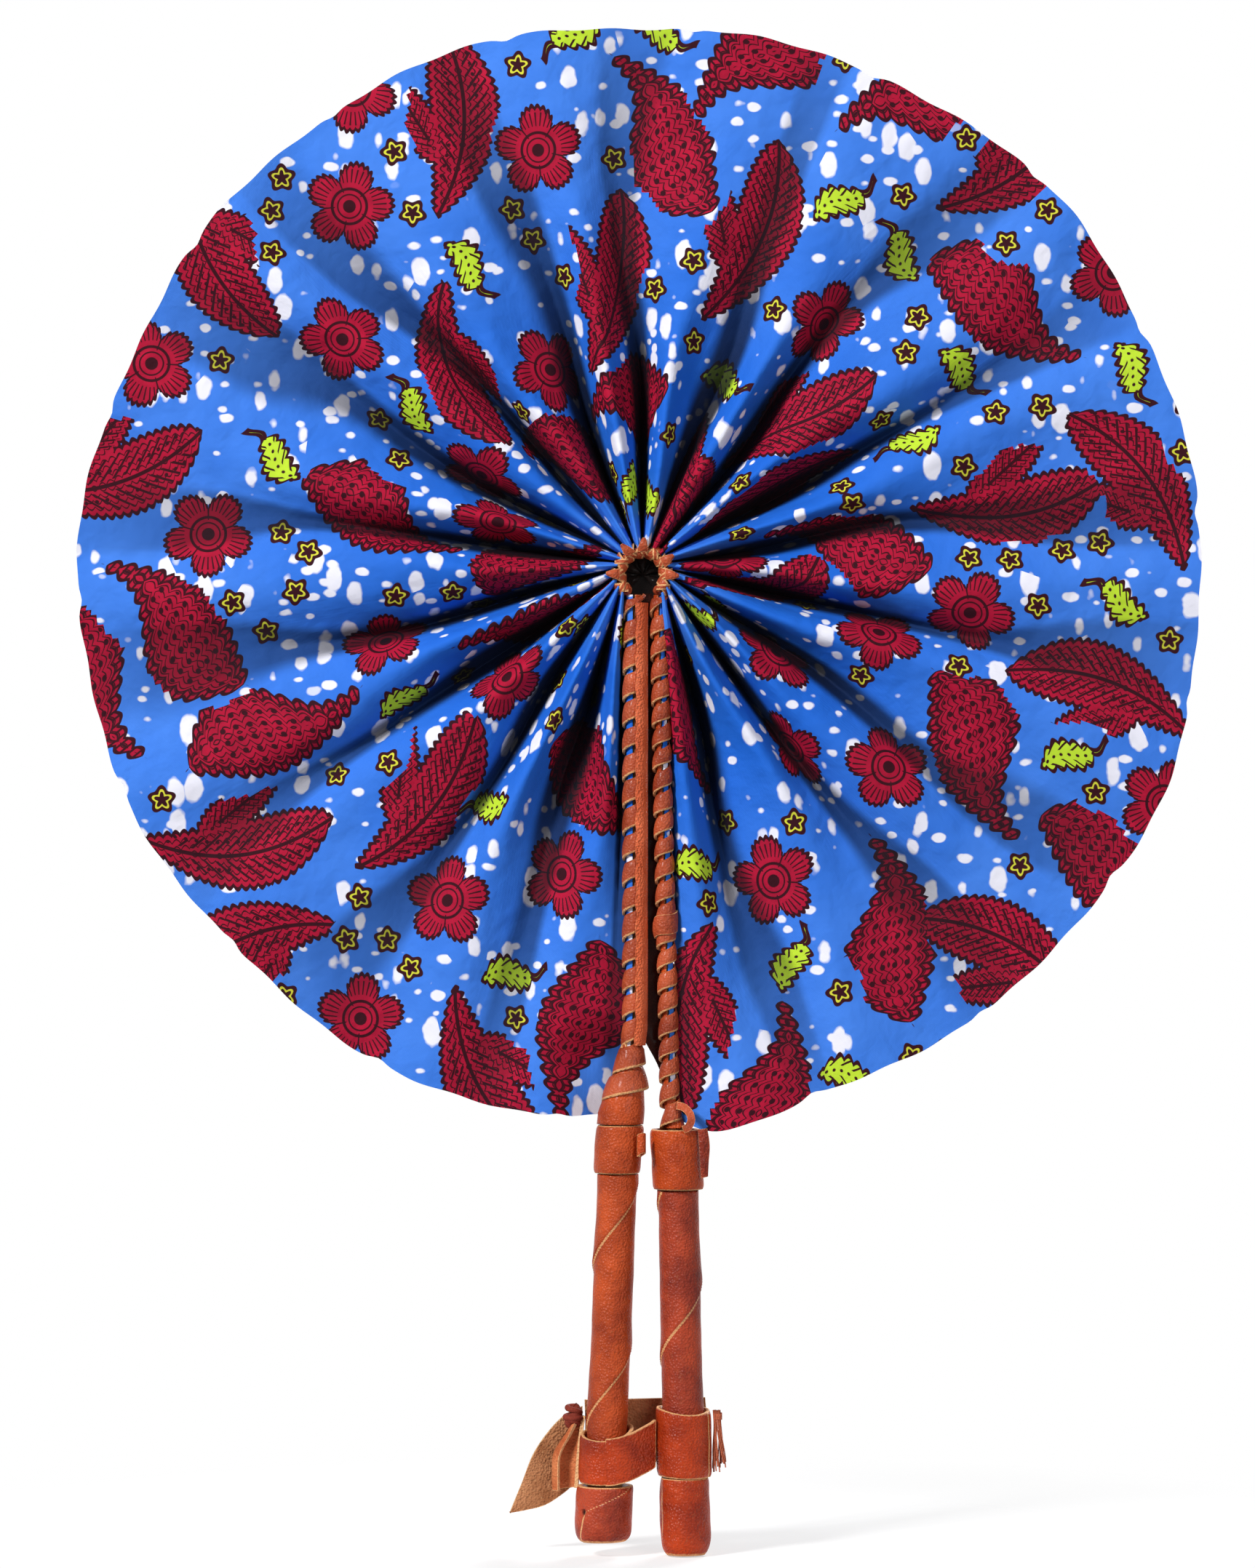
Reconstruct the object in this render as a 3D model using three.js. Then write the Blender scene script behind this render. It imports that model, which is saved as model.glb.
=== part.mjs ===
// Round folding hand fan: a pleated cotton leaf between two leather-wrapped sticks, with a leather strap.
// Millimetres, +Z up, front towards -Y. The origin is the middle of the hand's hold between the two grips.
import * as THREE from 'three';

// ---- driving dimensions ----
const HUB_Z = 190; // height of the lacing ring's centre above the hold
const PLEATS = 18;
const SEGMENTS = 9; // the leaf folds in pairs of pleats, one pair on each ring segment
const CLOTH = 0.4;
const RIM_RADIUS = 137.6;
const RIM_FIRST = 3.1; // degrees clockwise from straight down, seen from the front
const RIM_LAST = 355.6;
const RING_FIRST = 45;
const RING_LAST = 315;
const RING_PIVOT = 5.5; // radius of the ring's hinge points
const RING_IN = 3.9;
const RING_OUT = 7.9;
const RING_DEPTH = 2.9;
const BEAD_WIDTH = 2.3;
const LEAF_IN = 8.4;
const SEAM_GAP = 0.4;
const FIT = 0.2; // gap between the layers of a stick
const LEATHER = 0.6;
const THONG_WIDTH = 0.8; // share of the winding's pitch
const THONG_STEPS = 14; // for each turn of the winding

// Each stick: heights below the ring's centre, axis offsets and overall radii.
const LEFT = {
  top: -7.4, neck: -118, flare: [-118, -133], collarTop: -136.2, collarEnd: -148, capTop: -225.3, end: -239,
  axis: [[-7.4, -2.1], [-112, -2.2], [-123, -3.4], [-133, -5.3], [-145, -6.1], [-157, -6.5], [-239, -9.9]],
  upper: [[-7.4, 2.7], [-118, 2.7]], throatLeather: 1.2,
  gripRadius: 5.4, collarRadius: 6.3, capRadius: 7.3, pitch: 6.6, wrapPitch: 40, wrapFrom: 151, side: -1,
};
const RIGHT = {
  top: -7.4, neck: -130, flare: [-132, -147], collarTop: -137.2, collarEnd: -152, capTop: -223.3, end: -242.3,
  axis: [[-7.4, 4.1], [-48, 4.9], [-111, 6.4], [-130, 6.7], [-137, 8.2], [-145, 8.7], [-242.3, 10.7]],
  upper: [[-7.4, 2.2], [-130, 2.35]], throatLeather: 0.6,
  gripRadius: 5.5, collarRadius: 6.8, capRadius: 6.5, pitch: 5.5, wrapPitch: 38, wrapFrom: 175.5, side: 1,
};

// Colour, and roughness, of each kind of material.
const FINISHES = {
  cotton: [0x2f5fc4, 0.85],
  wood: [0x9a7148, 0.7],
  thong: [0x7c3a22, 0.6],
  leather: [0x93452a, 0.5],
  darkLeather: [0x7a3530, 0.5],
  suede: [0xc79a6e, 0.9],
  thread: [0x5c1620, 0.9],
};

// ---- small helpers ----
const rad = (degrees) => degrees * Math.PI / 180;
const mix = (a, b, t) => a + (b - a) * t;

function along(table, at) {
  // Reads a table of [position, value] rows, whose positions fall, at one position.
  if (at >= table[0][0]) {
    return table[0][1];
  }
  for (let i = 1; i < table.length; i += 1) {
    if (at >= table[i][0]) {
      return mix(table[i - 1][1], table[i][1], (table[i - 1][0] - at) / (table[i - 1][0] - table[i][0]));
    }
  }
  return table[table.length - 1][1];
}

function between(count, from, to) {
  return Array.from({ length: count + 1 }, (_, i) => mix(from, to, i / count));
}

function bearing(angle, radius, y = 0) {
  // A point at an angle clockwise from straight down, seen from the front.
  return [-radius * Math.sin(rad(angle)), y, HUB_Z - radius * Math.cos(rad(angle))];
}

function finishOf(name) {
  const kinds = [[/^leaf|hem$/, 'cotton'], [/core$/, 'wood'], [/lacing|thong/, 'thong'],
    [/tuft|knot/, 'thread'],
    [/back_run|tail|curl/, 'suede'], [/^right_(?!band)/, 'darkLeather']];
  const found = kinds.find(([pattern]) => pattern.test(name));
  const [color, roughness] = FINISHES[found ? found[1] : 'leather'];
  return new THREE.MeshStandardMaterial({ color, roughness, metalness: 0 });
}

function meshOf(name, points, faces) {
  let volume = 0;
  for (const [a, b, c] of faces) {
    const [p, q, r] = [points[a], points[b], points[c]];
    volume += p[0] * (q[1] * r[2] - q[2] * r[1]) + p[1] * (q[2] * r[0] - q[0] * r[2])
      + p[2] * (q[0] * r[1] - q[1] * r[0]);
  }
  const ordered = volume < 0 ? faces.map(([a, b, c]) => [a, c, b]) : faces;
  const geometry = new THREE.BufferGeometry();
  geometry.setAttribute('position', new THREE.Float32BufferAttribute(points.flat(), 3));
  geometry.setIndex(ordered.flat());
  geometry.computeVertexNormals();
  const mesh = new THREE.Mesh(geometry, finishOf(name));
  mesh.name = name;
  return mesh;
}

function skin(name, loops, closed = false, strip = false) {
  // Joins loops of equal length into one closed body, with a cap on each end unless it closes on itself.
  // A cap is a fan, or for a strip a row of quads between the loop's two halves. Both halves of a strip are
  // split along the same diagonals, so its two faces never pass through each other.
  const size = loops[0].length;
  const points = loops.flat();
  const faces = [];
  const spans = closed ? loops.length : loops.length - 1;
  for (let i = 0; i < spans; i += 1) {
    const next = (i + 1) % loops.length;
    for (let j = 0; j < size; j += 1) {
      const k = (j + 1) % size;
      const [a, b, c, d] = [i * size + j, next * size + j, next * size + k, i * size + k];
      const mirrored = strip && j >= size / 2;
      faces.push(...(mirrored ? [[a, b, d], [b, c, d]] : [[a, b, c], [a, c, d]]));
    }
  }
  if (!closed) {
    const cap = strip
      ? between(size / 2 - 2, 0, size / 2 - 2).flatMap((j) => {
        const [across, back] = [size - 1 - j, size - 2 - j];
        return [[j, j + 1, back], [j, back, across]];
      })
      : between(size - 3, 1, size - 2).map((j) => [0, j, j + 1]);
    for (const [row, turn] of [[0, false], [loops.length - 1, true]]) {
      for (const [a, b, c] of cap) {
        faces.push((turn ? [a, c, b] : [a, b, c]).map((k) => row * size + k));
      }
    }
  }
  return meshOf(name, points, faces);
}

function ringLoop(stick, z, radius, count) {
  const x = along(stick.axis, z);
  return Array.from({ length: count }, (_, j) => {
    const turn = 2 * Math.PI * j / count;
    const r = typeof radius === 'function' ? radius(turn, z) : radius;
    return [x + r * Math.cos(turn), r * Math.sin(turn), HUB_Z + z];
  });
}

function rod(name, stick, heights, radius, count) {
  return skin(name, heights.map((z) => ringLoop(stick, z, radius(z), count)));
}

function tube(name, stick, heights, inner, outer, count) {
  const down = heights.map((z) => ringLoop(stick, z, outer(z), count));
  const up = [...heights].reverse().map((z) => ringLoop(stick, z, inner(z), count));
  return skin(name, [...down, ...up], true);
}

function cup(name, stick, top, floor, end, inner, outer, count) {
  const loops = [
    ringLoop(stick, floor, inner, count), ringLoop(stick, top, inner, count),
    ringLoop(stick, top, outer - 0.5, count), ringLoop(stick, mix(top, end, 0.1), outer, count),
    ringLoop(stick, mix(top, end, 0.55), outer, count), ringLoop(stick, mix(top, end, 0.9), outer - 0.4, count),
    ringLoop(stick, end, outer - 1.4, count),
  ];
  return skin(name, loops);
}

function halfTube(name, stick, heights, inner, outer, from, to, count) {
  // A strip bent round part of a stick, from one angle to another.
  const loops = between(count, from, to).map((degrees) => {
    const [c, s] = [Math.cos(rad(degrees)), Math.sin(rad(degrees))];
    const place = (z, r) => [along(stick.axis, z) + r * c, r * s, HUB_Z + z];
    const back = [...heights].reverse().map((z) => place(z, inner(z)));
    return [...heights.map((z) => place(z, outer(z))), ...back];
  });
  return skin(name, loops, false, true);
}

function band(name, path, lift, width, thickness) {
  // A strap on edge: it follows a path of [x, y] points, and lift gives the height of its middle at each.
  const loops = path.map(([x, y], i) => {
    const [before, after] = [path[Math.max(i - 1, 0)], path[Math.min(i + 1, path.length - 1)]];
    const length = Math.hypot(after[0] - before[0], after[1] - before[1]);
    const [nx, ny] = [-(after[1] - before[1]) / length, (after[0] - before[0]) / length];
    const z = HUB_Z + lift(i / (path.length - 1));
    const [h, t] = [width(i / (path.length - 1)) / 2, thickness / 2];
    return [[x + nx * t, y + ny * t, z + h], [x + nx * t, y + ny * t, z - h],
      [x - nx * t, y - ny * t, z - h], [x - nx * t, y - ny * t, z + h]];
  });
  return skin(name, loops);
}

function plate(name, outline, front, back) {
  // A flat piece facing the front, from its outline as [x, z] points round its middle.
  const cx = outline.reduce((sum, p) => sum + p[0], 0) / outline.length;
  const cz = outline.reduce((sum, p) => sum + p[1], 0) / outline.length;
  const rim = (y) => outline.map(([x, z]) => [x, y(x, z), HUB_Z + z]);
  const points = [...rim(front), ...rim(back), [cx, front(cx, cz), HUB_Z + cz], [cx, back(cx, cz), HUB_Z + cz]];
  const n = outline.length;
  const faces = [];
  for (let j = 0; j < n; j += 1) {
    const k = (j + 1) % n;
    faces.push([j, k, n + k], [j, n + k, n + j], [k, j, 2 * n], [n + j, n + k, 2 * n + 1]);
  }
  return meshOf(name, points, faces);
}

// ---- leaf ----
function rimRadius(angle) {
  const a = rad(angle);
  return RIM_RADIUS - 1.3 * Math.cos(2 * a) + 0.9 * Math.sin(5 * a + 0.7) + 0.6 * Math.sin(11 * a + 2)
    - 3.6 * Math.exp(-((angle / 9) ** 2)) + 2.4 * Math.exp(-(((angle - 350) / 7) ** 2))
    - 3 * Math.exp(-(((angle - 357) / 2.6) ** 2));
}

function foldDepth(r) {
  return along([[-8, 7.5], [-18, 13], [-32, 16], [-50, 13], [-70, 9], [-90, 5.5], [-115, 3], [-145, 1.6]], -r);
}

function tuck(turn, r) {
  // Near the rim the leaf passes behind the left stick's wide throat.
  const across = turn * rad(RIM_LAST - RIM_FIRST) * r;
  const near = Math.min(Math.max((r - 108) / 12, 0), 1);
  return 6.6 * near * near * (3 - 2 * near) * Math.exp(-((Math.max(across - 4, 0) / 9) ** 2));
}

function leafLine(turn) {
  // The inner and outer end of the leaf's straight line at a turn from 0 to 1 across the whole leaf.
  const ring = mix(RING_FIRST, RING_LAST, turn);
  const rim = mix(RIM_FIRST, RIM_LAST, turn);
  return [bearing(ring, LEAF_IN), bearing(rim, rimRadius(rim))];
}

function leafPoint(turn, v) {
  const [start, finish] = leafLine(turn);
  return [mix(start[0], finish[0], v), mix(start[2], finish[2], v)];
}

function leafFold(index) {
  const across = 16;
  const steps = [0, 0.05, 0.11, 0.18, 0.26, 0.36, 0.48, 0.61, 0.74, 0.88, 1];
  const per = PLEATS / SEGMENTS;
  const front = [];
  const back = [];
  for (const v of steps) {
    const ends = [leafPoint(index / SEGMENTS, v), leafPoint((index + 1) / SEGMENTS, v)];
    const inset = SEAM_GAP / Math.hypot(ends[1][0] - ends[0][0], ends[1][1] - ends[0][1]);
    const row = between(across, inset, 1 - inset).map((u) => {
      const [x, z] = leafPoint((index + u) / SEGMENTS, v);
      const r = Math.hypot(x, z - HUB_Z);
      const fold = Math.cos(Math.PI * u * per) ** 2;
      return [x, mix(-2.4, -0.6, v) + foldDepth(r) * fold + tuck((index + u) / SEGMENTS, r), z];
    });
    const sides = row.map((p, i) => {
      // The cloth's normal inside this cross-section, mitred where two faces meet.
      const units = [[i - 1, i], [i, i + 1]].filter(([a, b]) => a >= 0 && b < row.length).map(([a, b]) => {
        const flat = Math.hypot(row[b][0] - row[a][0], row[b][2] - row[a][2]);
        const length = Math.hypot(flat, row[b][1] - row[a][1]);
        return { flat: flat / length, rise: (row[b][1] - row[a][1]) / length, a, b };
      });
      const flat = units.reduce((sum, s) => sum + s.flat, 0) / units.length;
      const rise = units.reduce((sum, s) => sum + s.rise, 0) / units.length;
      const size = Math.max(flat * flat + rise * rise, 0.05);
      const first = row[Math.max(i - 1, 0)];
      const last = row[Math.min(i + 1, row.length - 1)];
      const span = Math.hypot(last[0] - first[0], last[2] - first[2]);
      const [tx, tz] = [(last[0] - first[0]) / span, (last[2] - first[2]) / span];
      return [-rise * tx / size, flat / size, -rise * tz / size];
    });
    // The cloth is pressed thin where the lacing gathers it.
    const half = CLOTH / 2 * Math.min(mix(0.45, 1, v / 0.2), 1);
    front.push(row.map((p, i) => p.map((value, k) => value - sides[i][k] * half)));
    back.push(row.map((p, i) => p.map((value, k) => value + sides[i][k] * half)));
  }
  const loops = steps.map((_, i) => [...front[i], ...[...back[i]].reverse()]);
  return skin(`leaf_fold_${index + 1}`, loops, false, true);
}

// ---- lacing ring ----
function ringBead(index) {
  const middle = mix(RING_FIRST, RING_LAST, (index + 0.5) / SEGMENTS);
  const [dx, dz] = [-Math.sin(rad(middle)), -Math.cos(rad(middle))];
  const [tx, tz] = [dz, -dx];
  const waist = 2 * RING_IN * Math.sin(rad((RING_LAST - RING_FIRST) / SEGMENTS / 2)) - 0.5;
  const shape = [[RING_IN, waist * 0.36], [RING_IN + 0.7, waist / 2], [RING_PIVOT, BEAD_WIDTH / 2],
    [RING_OUT - 0.8, BEAD_WIDTH / 2], [RING_OUT, BEAD_WIDTH * 0.3]];
  const outline = [...shape, ...[...shape].reverse().map(([r, w]) => [r, -w])];
  const loops = [[-RING_DEPTH, 0.72], [-RING_DEPTH * 0.72, 1], [RING_DEPTH * 0.72, 1], [RING_DEPTH, 0.72]];
  return skin(`hub_lacing_${index + 1}`, loops.map(([y, grow]) => outline.map(([r, w]) => {
    const reach = mix((RING_IN + RING_OUT) / 2, r, grow);
    return [dx * reach + tx * w * grow, y, HUB_Z + dz * reach + tz * w * grow];
  })));
}

// ---- sticks ----
function leastGap(loops, perTurn) {
  // The least distance between points of a winding that lie half a turn or more apart.
  let least = Infinity;
  for (let i = 0; i < loops.length; i += 1) {
    for (const other of loops.slice(i + perTurn / 2, i + 2 * perTurn)) {
      for (const p of loops[i]) {
        least = Math.min(least, ...other.map((q) => Math.hypot(p[0] - q[0], p[1] - q[1], p[2] - q[2])));
      }
    }
  }
  return least;
}

function thong(name, stick, from, to, radius, width, thickness) {
  // One long thong wound round the stick.
  const turns = (from - to) / stick.pitch;
  const steps = Math.round(turns * THONG_STEPS);
  const loops = between(steps, 0, 1).map((t) => {
    const z = mix(from, to, t);
    const turn = -2 * Math.PI * turns * t;
    const r = radius(z);
    const slope = stick.pitch / (2 * Math.PI * r);
    const corners = [[0, 1], [0, -1], [1, -1], [1, 1]];
    return corners.map(([out, edge]) => {
      const reach = r + out * thickness;
      const shift = edge * width / 2;
      const spin = turn + shift * slope / r / (1 + slope * slope) * 0.5;
      const height = z + shift / Math.sqrt(1 + slope * slope);
      return [along(stick.axis, height) + reach * Math.cos(spin), reach * Math.sin(spin), HUB_Z + height];
    });
  });
  console.log(`${name}: least gap to itself ${leastGap(loops, THONG_STEPS).toFixed(2)} mm`);
  return skin(name, loops);
}

function stickParts(label, stick) {
  const overall = (z) => along(stick.upper, z);
  const coreRadius = (z) => {
    const slim = overall(z) - 2 * LEATHER - 2 * FIT;
    return along([[stick.flare[0], slim], [stick.flare[1], stick.gripRadius - 1.1]], z);
  };
  const bends = stick.axis.map(([z]) => z);
  const upperBends = bends.filter((z) => z < stick.top && z > stick.neck + 1);
  const lowerBends = bends.filter((z) => z < stick.flare[1] && z > stick.end);
  const upper = [stick.top, ...upperBends, stick.neck + 1];
  const flare = between(3, ...stick.flare);
  const core = [stick.top - 0.3, ...upperBends, stick.neck + 0.5, ...flare, ...lowerBends, stick.end + 2.4];
  const throat = [stick.neck + 0.6, ...flare.filter((z) => z > stick.collarTop + 0.5), stick.collarTop + 0.3];
  const sleeve = [(z) => overall(z) - 2 * LEATHER - FIT, (z) => overall(z) - LEATHER - FIT];
  const [hemSide, leatherSide] = stick.side < 0 ? [[100, 260], [-80, 80]] : [[-80, 80], [100, 260]];
  const wrapRadius = (turn, z) => {
    const lap = (((z + stick.wrapFrom) / stick.wrapPitch - turn / (2 * Math.PI)) % 1 + 1) % 1;
    return stick.gripRadius - 0.45 + 0.45 * Math.exp(-((Math.min(lap, 1 - lap) * stick.wrapPitch / 3.4) ** 2));
  };
  const gripHeights = between(19, stick.collarEnd - 0.3, stick.capTop + 0.3);
  const parts = [
    rod(`${label}_stick_core`, stick, core, coreRadius, 20),
    halfTube(`${label}_leaf_hem`, stick, upper, ...sleeve, ...hemSide, 8),
    halfTube(`${label}_stick_sleeve`, stick, upper, ...sleeve, ...leatherSide, 8),
    thong(`${label}_lacing`, stick, stick.top - 2.4, stick.neck + 3.4, (z) => overall(z) - LEATHER + 0.1,
      stick.pitch * THONG_WIDTH, LEATHER - 0.1),
    tube(`${label}_throat`, stick, throat, (z) => coreRadius(z) + FIT,
      (z) => coreRadius(z) + FIT + stick.throatLeather, 16),
    tube(`${label}_collar`, stick, [stick.collarTop, mix(stick.collarTop, stick.collarEnd, 0.12),
      mix(stick.collarTop, stick.collarEnd, 0.5), stick.collarEnd], () => stick.gripRadius - 0.8,
    (z) => along([[stick.collarTop, stick.collarRadius - 0.7], [stick.collarTop - 1.4, stick.collarRadius],
      [stick.collarEnd, stick.collarRadius - 0.5]], z), 24),
    tube(`${label}_grip_wrap`, stick, gripHeights, () => stick.gripRadius - 0.85, () => wrapRadius, 22),
    cup(`${label}_end_cap`, stick, stick.capTop, stick.end + 2, stick.end, stick.gripRadius - 0.8,
      stick.capRadius, 24),
  ];
  return parts;
}

// ---- assembly ----
const fan = new THREE.Group();
fan.name = 'fabric_hand_fan';
for (const [label, stick] of [['left', LEFT], ['right', RIGHT]]) {
  for (const part of stickParts(label, stick)) {
    fan.add(part);
  }
}
for (let index = 0; index < SEGMENTS; index += 1) {
  fan.add(leafFold(index));
  fan.add(ringBead(index));
}

// A smooth leather strip covers the inner front of the left stick's lacing.
fan.add(halfTube('left_facing', LEFT, [-9, -60, -112, LEFT.neck + 1.6], () => LEFT.upper[0][1] + FIT,
  () => LEFT.upper[0][1] + FIT + LEATHER, -80, 0, 5));

// The thong's ends at the collars: a curl on the left, a folded tab and a loop on the right.
const curlPath = between(9, 200, 520).map((a) => {
  return [-0.2 + 0.9 * Math.cos(rad(a)), -5.5 + 0.9 * Math.sin(rad(a))];
});
fan.add(band('left_collar_curl', curlPath, () => -141, () => 4.8, 0.5));
const tabShape = [[13.9, -137.2], [15.9, -136.8], [16.4, -141], [16.1, -148.4], [14.6, -148.9], [14.2, -143]];
fan.add(plate('right_collar_tab', tabShape, () => -4.9, () => -3.9));
const loopPath = between(8, 150, 390).map((a) => [10.6 + 1.5 * Math.cos(rad(a)), -4.6 + 1.4 * Math.sin(rad(a))]);
fan.add(band('right_thong_loop', loopPath, () => -135, () => 3, 0.5));

// A plain leather band and a tuft of thread near the end of the right grip.
fan.add(tube('right_band', RIGHT, [-206.5, -208, -221.4, -222.9], () => RIGHT.gripRadius + 0.3,
  (z) => along([[-206.5, 6.5], [-208, 6.95], [-221.4, 6.95], [-222.9, 6.5]], z), 24));
const tuft = [[-206.4, 18.7, 0.5], [-208.2, 18.9, 1.1], [-210, 18.8, 0.7], [-216, 19.2, 1.5],
  [-222, 19.5, 1.3]];
fan.add(skin('right_thread_tuft', tuft.map(([z, x, r]) => Array.from({ length: 10 }, (_, j) => (
  [x + r * Math.cos(j * Math.PI / 5), -1 + 0.8 * r * Math.sin(j * Math.PI / 5), HUB_Z + z])))));

// The strap is looped round the left grip, and its long end lies behind both grips.
fan.add(tube('strap_noose', LEFT, [-212, -213, -223.4, -224.4], () => LEFT.gripRadius + 0.35,
  (z) => along([[-212, 6.5], [-213, 6.9], [-223.4, 6.9], [-224.4, 6.5]], z), 28));
const armPath = between(6, -2.05, 2.8).map((x) => [x, mix(-3.2, -1.6, (x + 2) / 5)]);
fan.add(band('strap_arm', armPath, (t) => mix(-217, -215.6, t), () => 12.4, 1.2));
fan.add(plate('strap_back_run', [[-14.4, -205], [1, -204], [15.5, -204.5], [15.8, -219], [1, -221.5],
  [-14.2, -222.5]], () => 7.5, () => 8.7));
fan.add(plate('strap_tail', [[-14.9, -206.6], [-14.6, -222.3], [-20.6, -229], [-27, -232], [-33, -233],
  [-30.2, -226.4], [-27.4, -219], [-22, -210.4]], (x) => 7.5 + (x + 15) * 0.04, (x) => 8.7 + (x + 15) * 0.04));
const slitPath = between(8, 20, 250).map((a) => [-19.4 + 2.9 * Math.cos(rad(a)), 4.2 + 2.2 * Math.sin(rad(a))]);
fan.add(band('strap_slit_loop', slitPath, () => -219.4, (t) => 15.2 + 0.4 * Math.sin(t * Math.PI), 1));
const knot = [[-206, 0.8], [-207.2, 2.1], [-208.8, 2.5], [-210.2, 2.1], [-211.3, 0.9]];
fan.add(skin('strap_knot', knot.map(([z, r]) => Array.from({ length: 12 }, (_, j) => (
  [-17.2 + r * Math.cos(j * Math.PI / 6), 4.4 + 0.9 * r * Math.sin(j * Math.PI / 6), HUB_Z + z])))));

export default fan;
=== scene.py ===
"""Round folding hand fan: a pleated cotton leaf, two leather-wrapped sticks and a leather strap."""
import random
from math import atan2, cos, exp, hypot, pi, radians, sin, sqrt, tau
from types import SimpleNamespace

import bpy
import numpy as np
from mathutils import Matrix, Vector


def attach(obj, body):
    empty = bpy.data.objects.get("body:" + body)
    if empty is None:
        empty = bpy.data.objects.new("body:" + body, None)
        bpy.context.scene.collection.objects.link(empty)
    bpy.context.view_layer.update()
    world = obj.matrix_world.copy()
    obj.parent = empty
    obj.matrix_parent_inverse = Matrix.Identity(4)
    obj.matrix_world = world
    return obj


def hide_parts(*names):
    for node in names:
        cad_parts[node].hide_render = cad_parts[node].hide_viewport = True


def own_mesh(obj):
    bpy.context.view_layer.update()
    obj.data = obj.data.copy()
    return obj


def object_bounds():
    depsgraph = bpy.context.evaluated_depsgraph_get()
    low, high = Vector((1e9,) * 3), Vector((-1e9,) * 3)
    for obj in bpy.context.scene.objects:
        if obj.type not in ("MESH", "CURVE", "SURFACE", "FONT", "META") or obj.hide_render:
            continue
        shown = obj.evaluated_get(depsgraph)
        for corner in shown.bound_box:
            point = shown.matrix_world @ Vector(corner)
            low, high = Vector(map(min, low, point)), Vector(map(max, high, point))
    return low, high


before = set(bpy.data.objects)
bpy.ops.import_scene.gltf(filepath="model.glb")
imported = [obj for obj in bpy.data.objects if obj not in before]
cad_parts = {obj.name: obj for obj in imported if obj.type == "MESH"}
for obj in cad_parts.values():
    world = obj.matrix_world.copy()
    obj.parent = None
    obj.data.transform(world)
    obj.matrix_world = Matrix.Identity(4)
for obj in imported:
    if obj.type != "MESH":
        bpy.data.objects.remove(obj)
cad_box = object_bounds()

# Driving dimensions, in millimetres and degrees, as in the CAD. The front faces -Y.
MM = 0.001
HUB_Z = 190.0
HUB = np.array([0, 0, HUB_Z])
BACK = np.array([0, 1, 0])
PLEATS = 18
SEGMENTS = 9
CLOTH = 0.35
RIM_RADIUS = 137.6
RIM_FIRST, RIM_LAST = 3.1, 355.6
RING_FIRST, RING_LAST = 45.0, 315.0
RING_PIVOT, RING_IN, RING_OUT, RING_DEPTH = 5.5, 3.9, 7.9, 2.9
LEAF_IN = 6.6
FIT = 0.2
LEATHER = 0.6
OPEN_ANGLE = radians(RIM_LAST - RIM_FIRST)

# Only in the scene: the slant of the ring's turns, and how cloth draws in as the fan closes. FOLDED_LEAN is a
# slope, and FOLDED_ASIDE is in millimetres.
RING_SLANT = 0.45
FOLDED_LEAN = 0.012
FOLDED_ASIDE = 0.6

LEFT = SimpleNamespace(
    label="left", side=-1, neck=-118.0, flare=(-118.0, -133.0), collar=(-136.2, -148.0), cap=(-225.3, -239.0),
    axis=[(-7.4, -2.1), (-112, -2.2), (-123, -3.4), (-133, -5.3), (-145, -6.1), (-157, -6.5), (-239, -9.9)],
    upper=[(-7.4, 2.7), (-118, 2.7)], throat_leather=1.2, lacing_end=-128.0,
    grip=5.4, collar_radius=6.3, cap_radius=7.3, pitch=6.6, wrap_pitch=40.0, wrap_from=151.0)
RIGHT = SimpleNamespace(
    label="right", side=1, neck=-130.0, flare=(-132.0, -147.0), collar=(-137.2, -152.0), cap=(-223.3, -242.3),
    axis=[(-7.4, 4.1), (-48, 4.9), (-111, 6.4), (-130, 6.7), (-137, 8.2), (-145, 8.7), (-242.3, 10.7)],
    upper=[(-7.4, 2.2), (-130, 2.35)], throat_leather=0.6, lacing_end=-136.4,
    grip=5.5, collar_radius=6.8, cap_radius=6.5, pitch=5.5, wrap_pitch=38.0, wrap_from=175.5)


# Numbers and curves
def along(table, at):
    """Reads rows of (position, value), whose positions fall, at one or many positions."""
    rows = sorted(table)
    return np.interp(at, [row[0] for row in rows], [row[1] for row in rows])


def smooth(low, high, x):
    t = np.clip((np.asarray(x, float) - low) / (high - low), 0, 1)
    return t * t * (3 - 2 * t)


def circle(count):
    return np.linspace(0, tau, count, endpoint=False)


def bearing(angle, radius):
    """x and z of a point at an angle clockwise from straight down, seen from the front."""
    a = np.radians(angle)
    return -radius * np.sin(a), HUB_Z - radius * np.cos(a)


def ring_angle(share):
    return RING_FIRST + (RING_LAST - RING_FIRST) * share


def rim_angle(share):
    return RIM_FIRST + (RIM_LAST - RIM_FIRST) * share


def rim_radius(angle):
    a = np.radians(angle)
    return (RIM_RADIUS - 1.3 * np.cos(2 * a) + 0.9 * np.sin(5 * a + 0.7) + 0.6 * np.sin(11 * a + 2)
            - 3.6 * np.exp(-((angle / 9) ** 2)) + 2.4 * np.exp(-(((angle - 350) / 7) ** 2))
            - 3 * np.exp(-(((angle - 357) / 2.6) ** 2)))


def curve_through(rows):
    """A function of a share from 0 to 1 that runs smoothly through points."""
    rows = np.asarray(rows, float)
    last = len(rows) - 1

    def at(t):
        k = min(int(t * last), last - 1)
        f = t * last - k
        a, b, c, d = rows[max(k - 1, 0)], rows[k], rows[k + 1], rows[min(k + 2, last)]
        return tuple(0.5 * (2 * b + (c - a) * f + (2 * a - 5 * b + 4 * c - d) * f * f
                            + (3 * b - a - 3 * c + d) * f ** 3))

    return at


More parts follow.
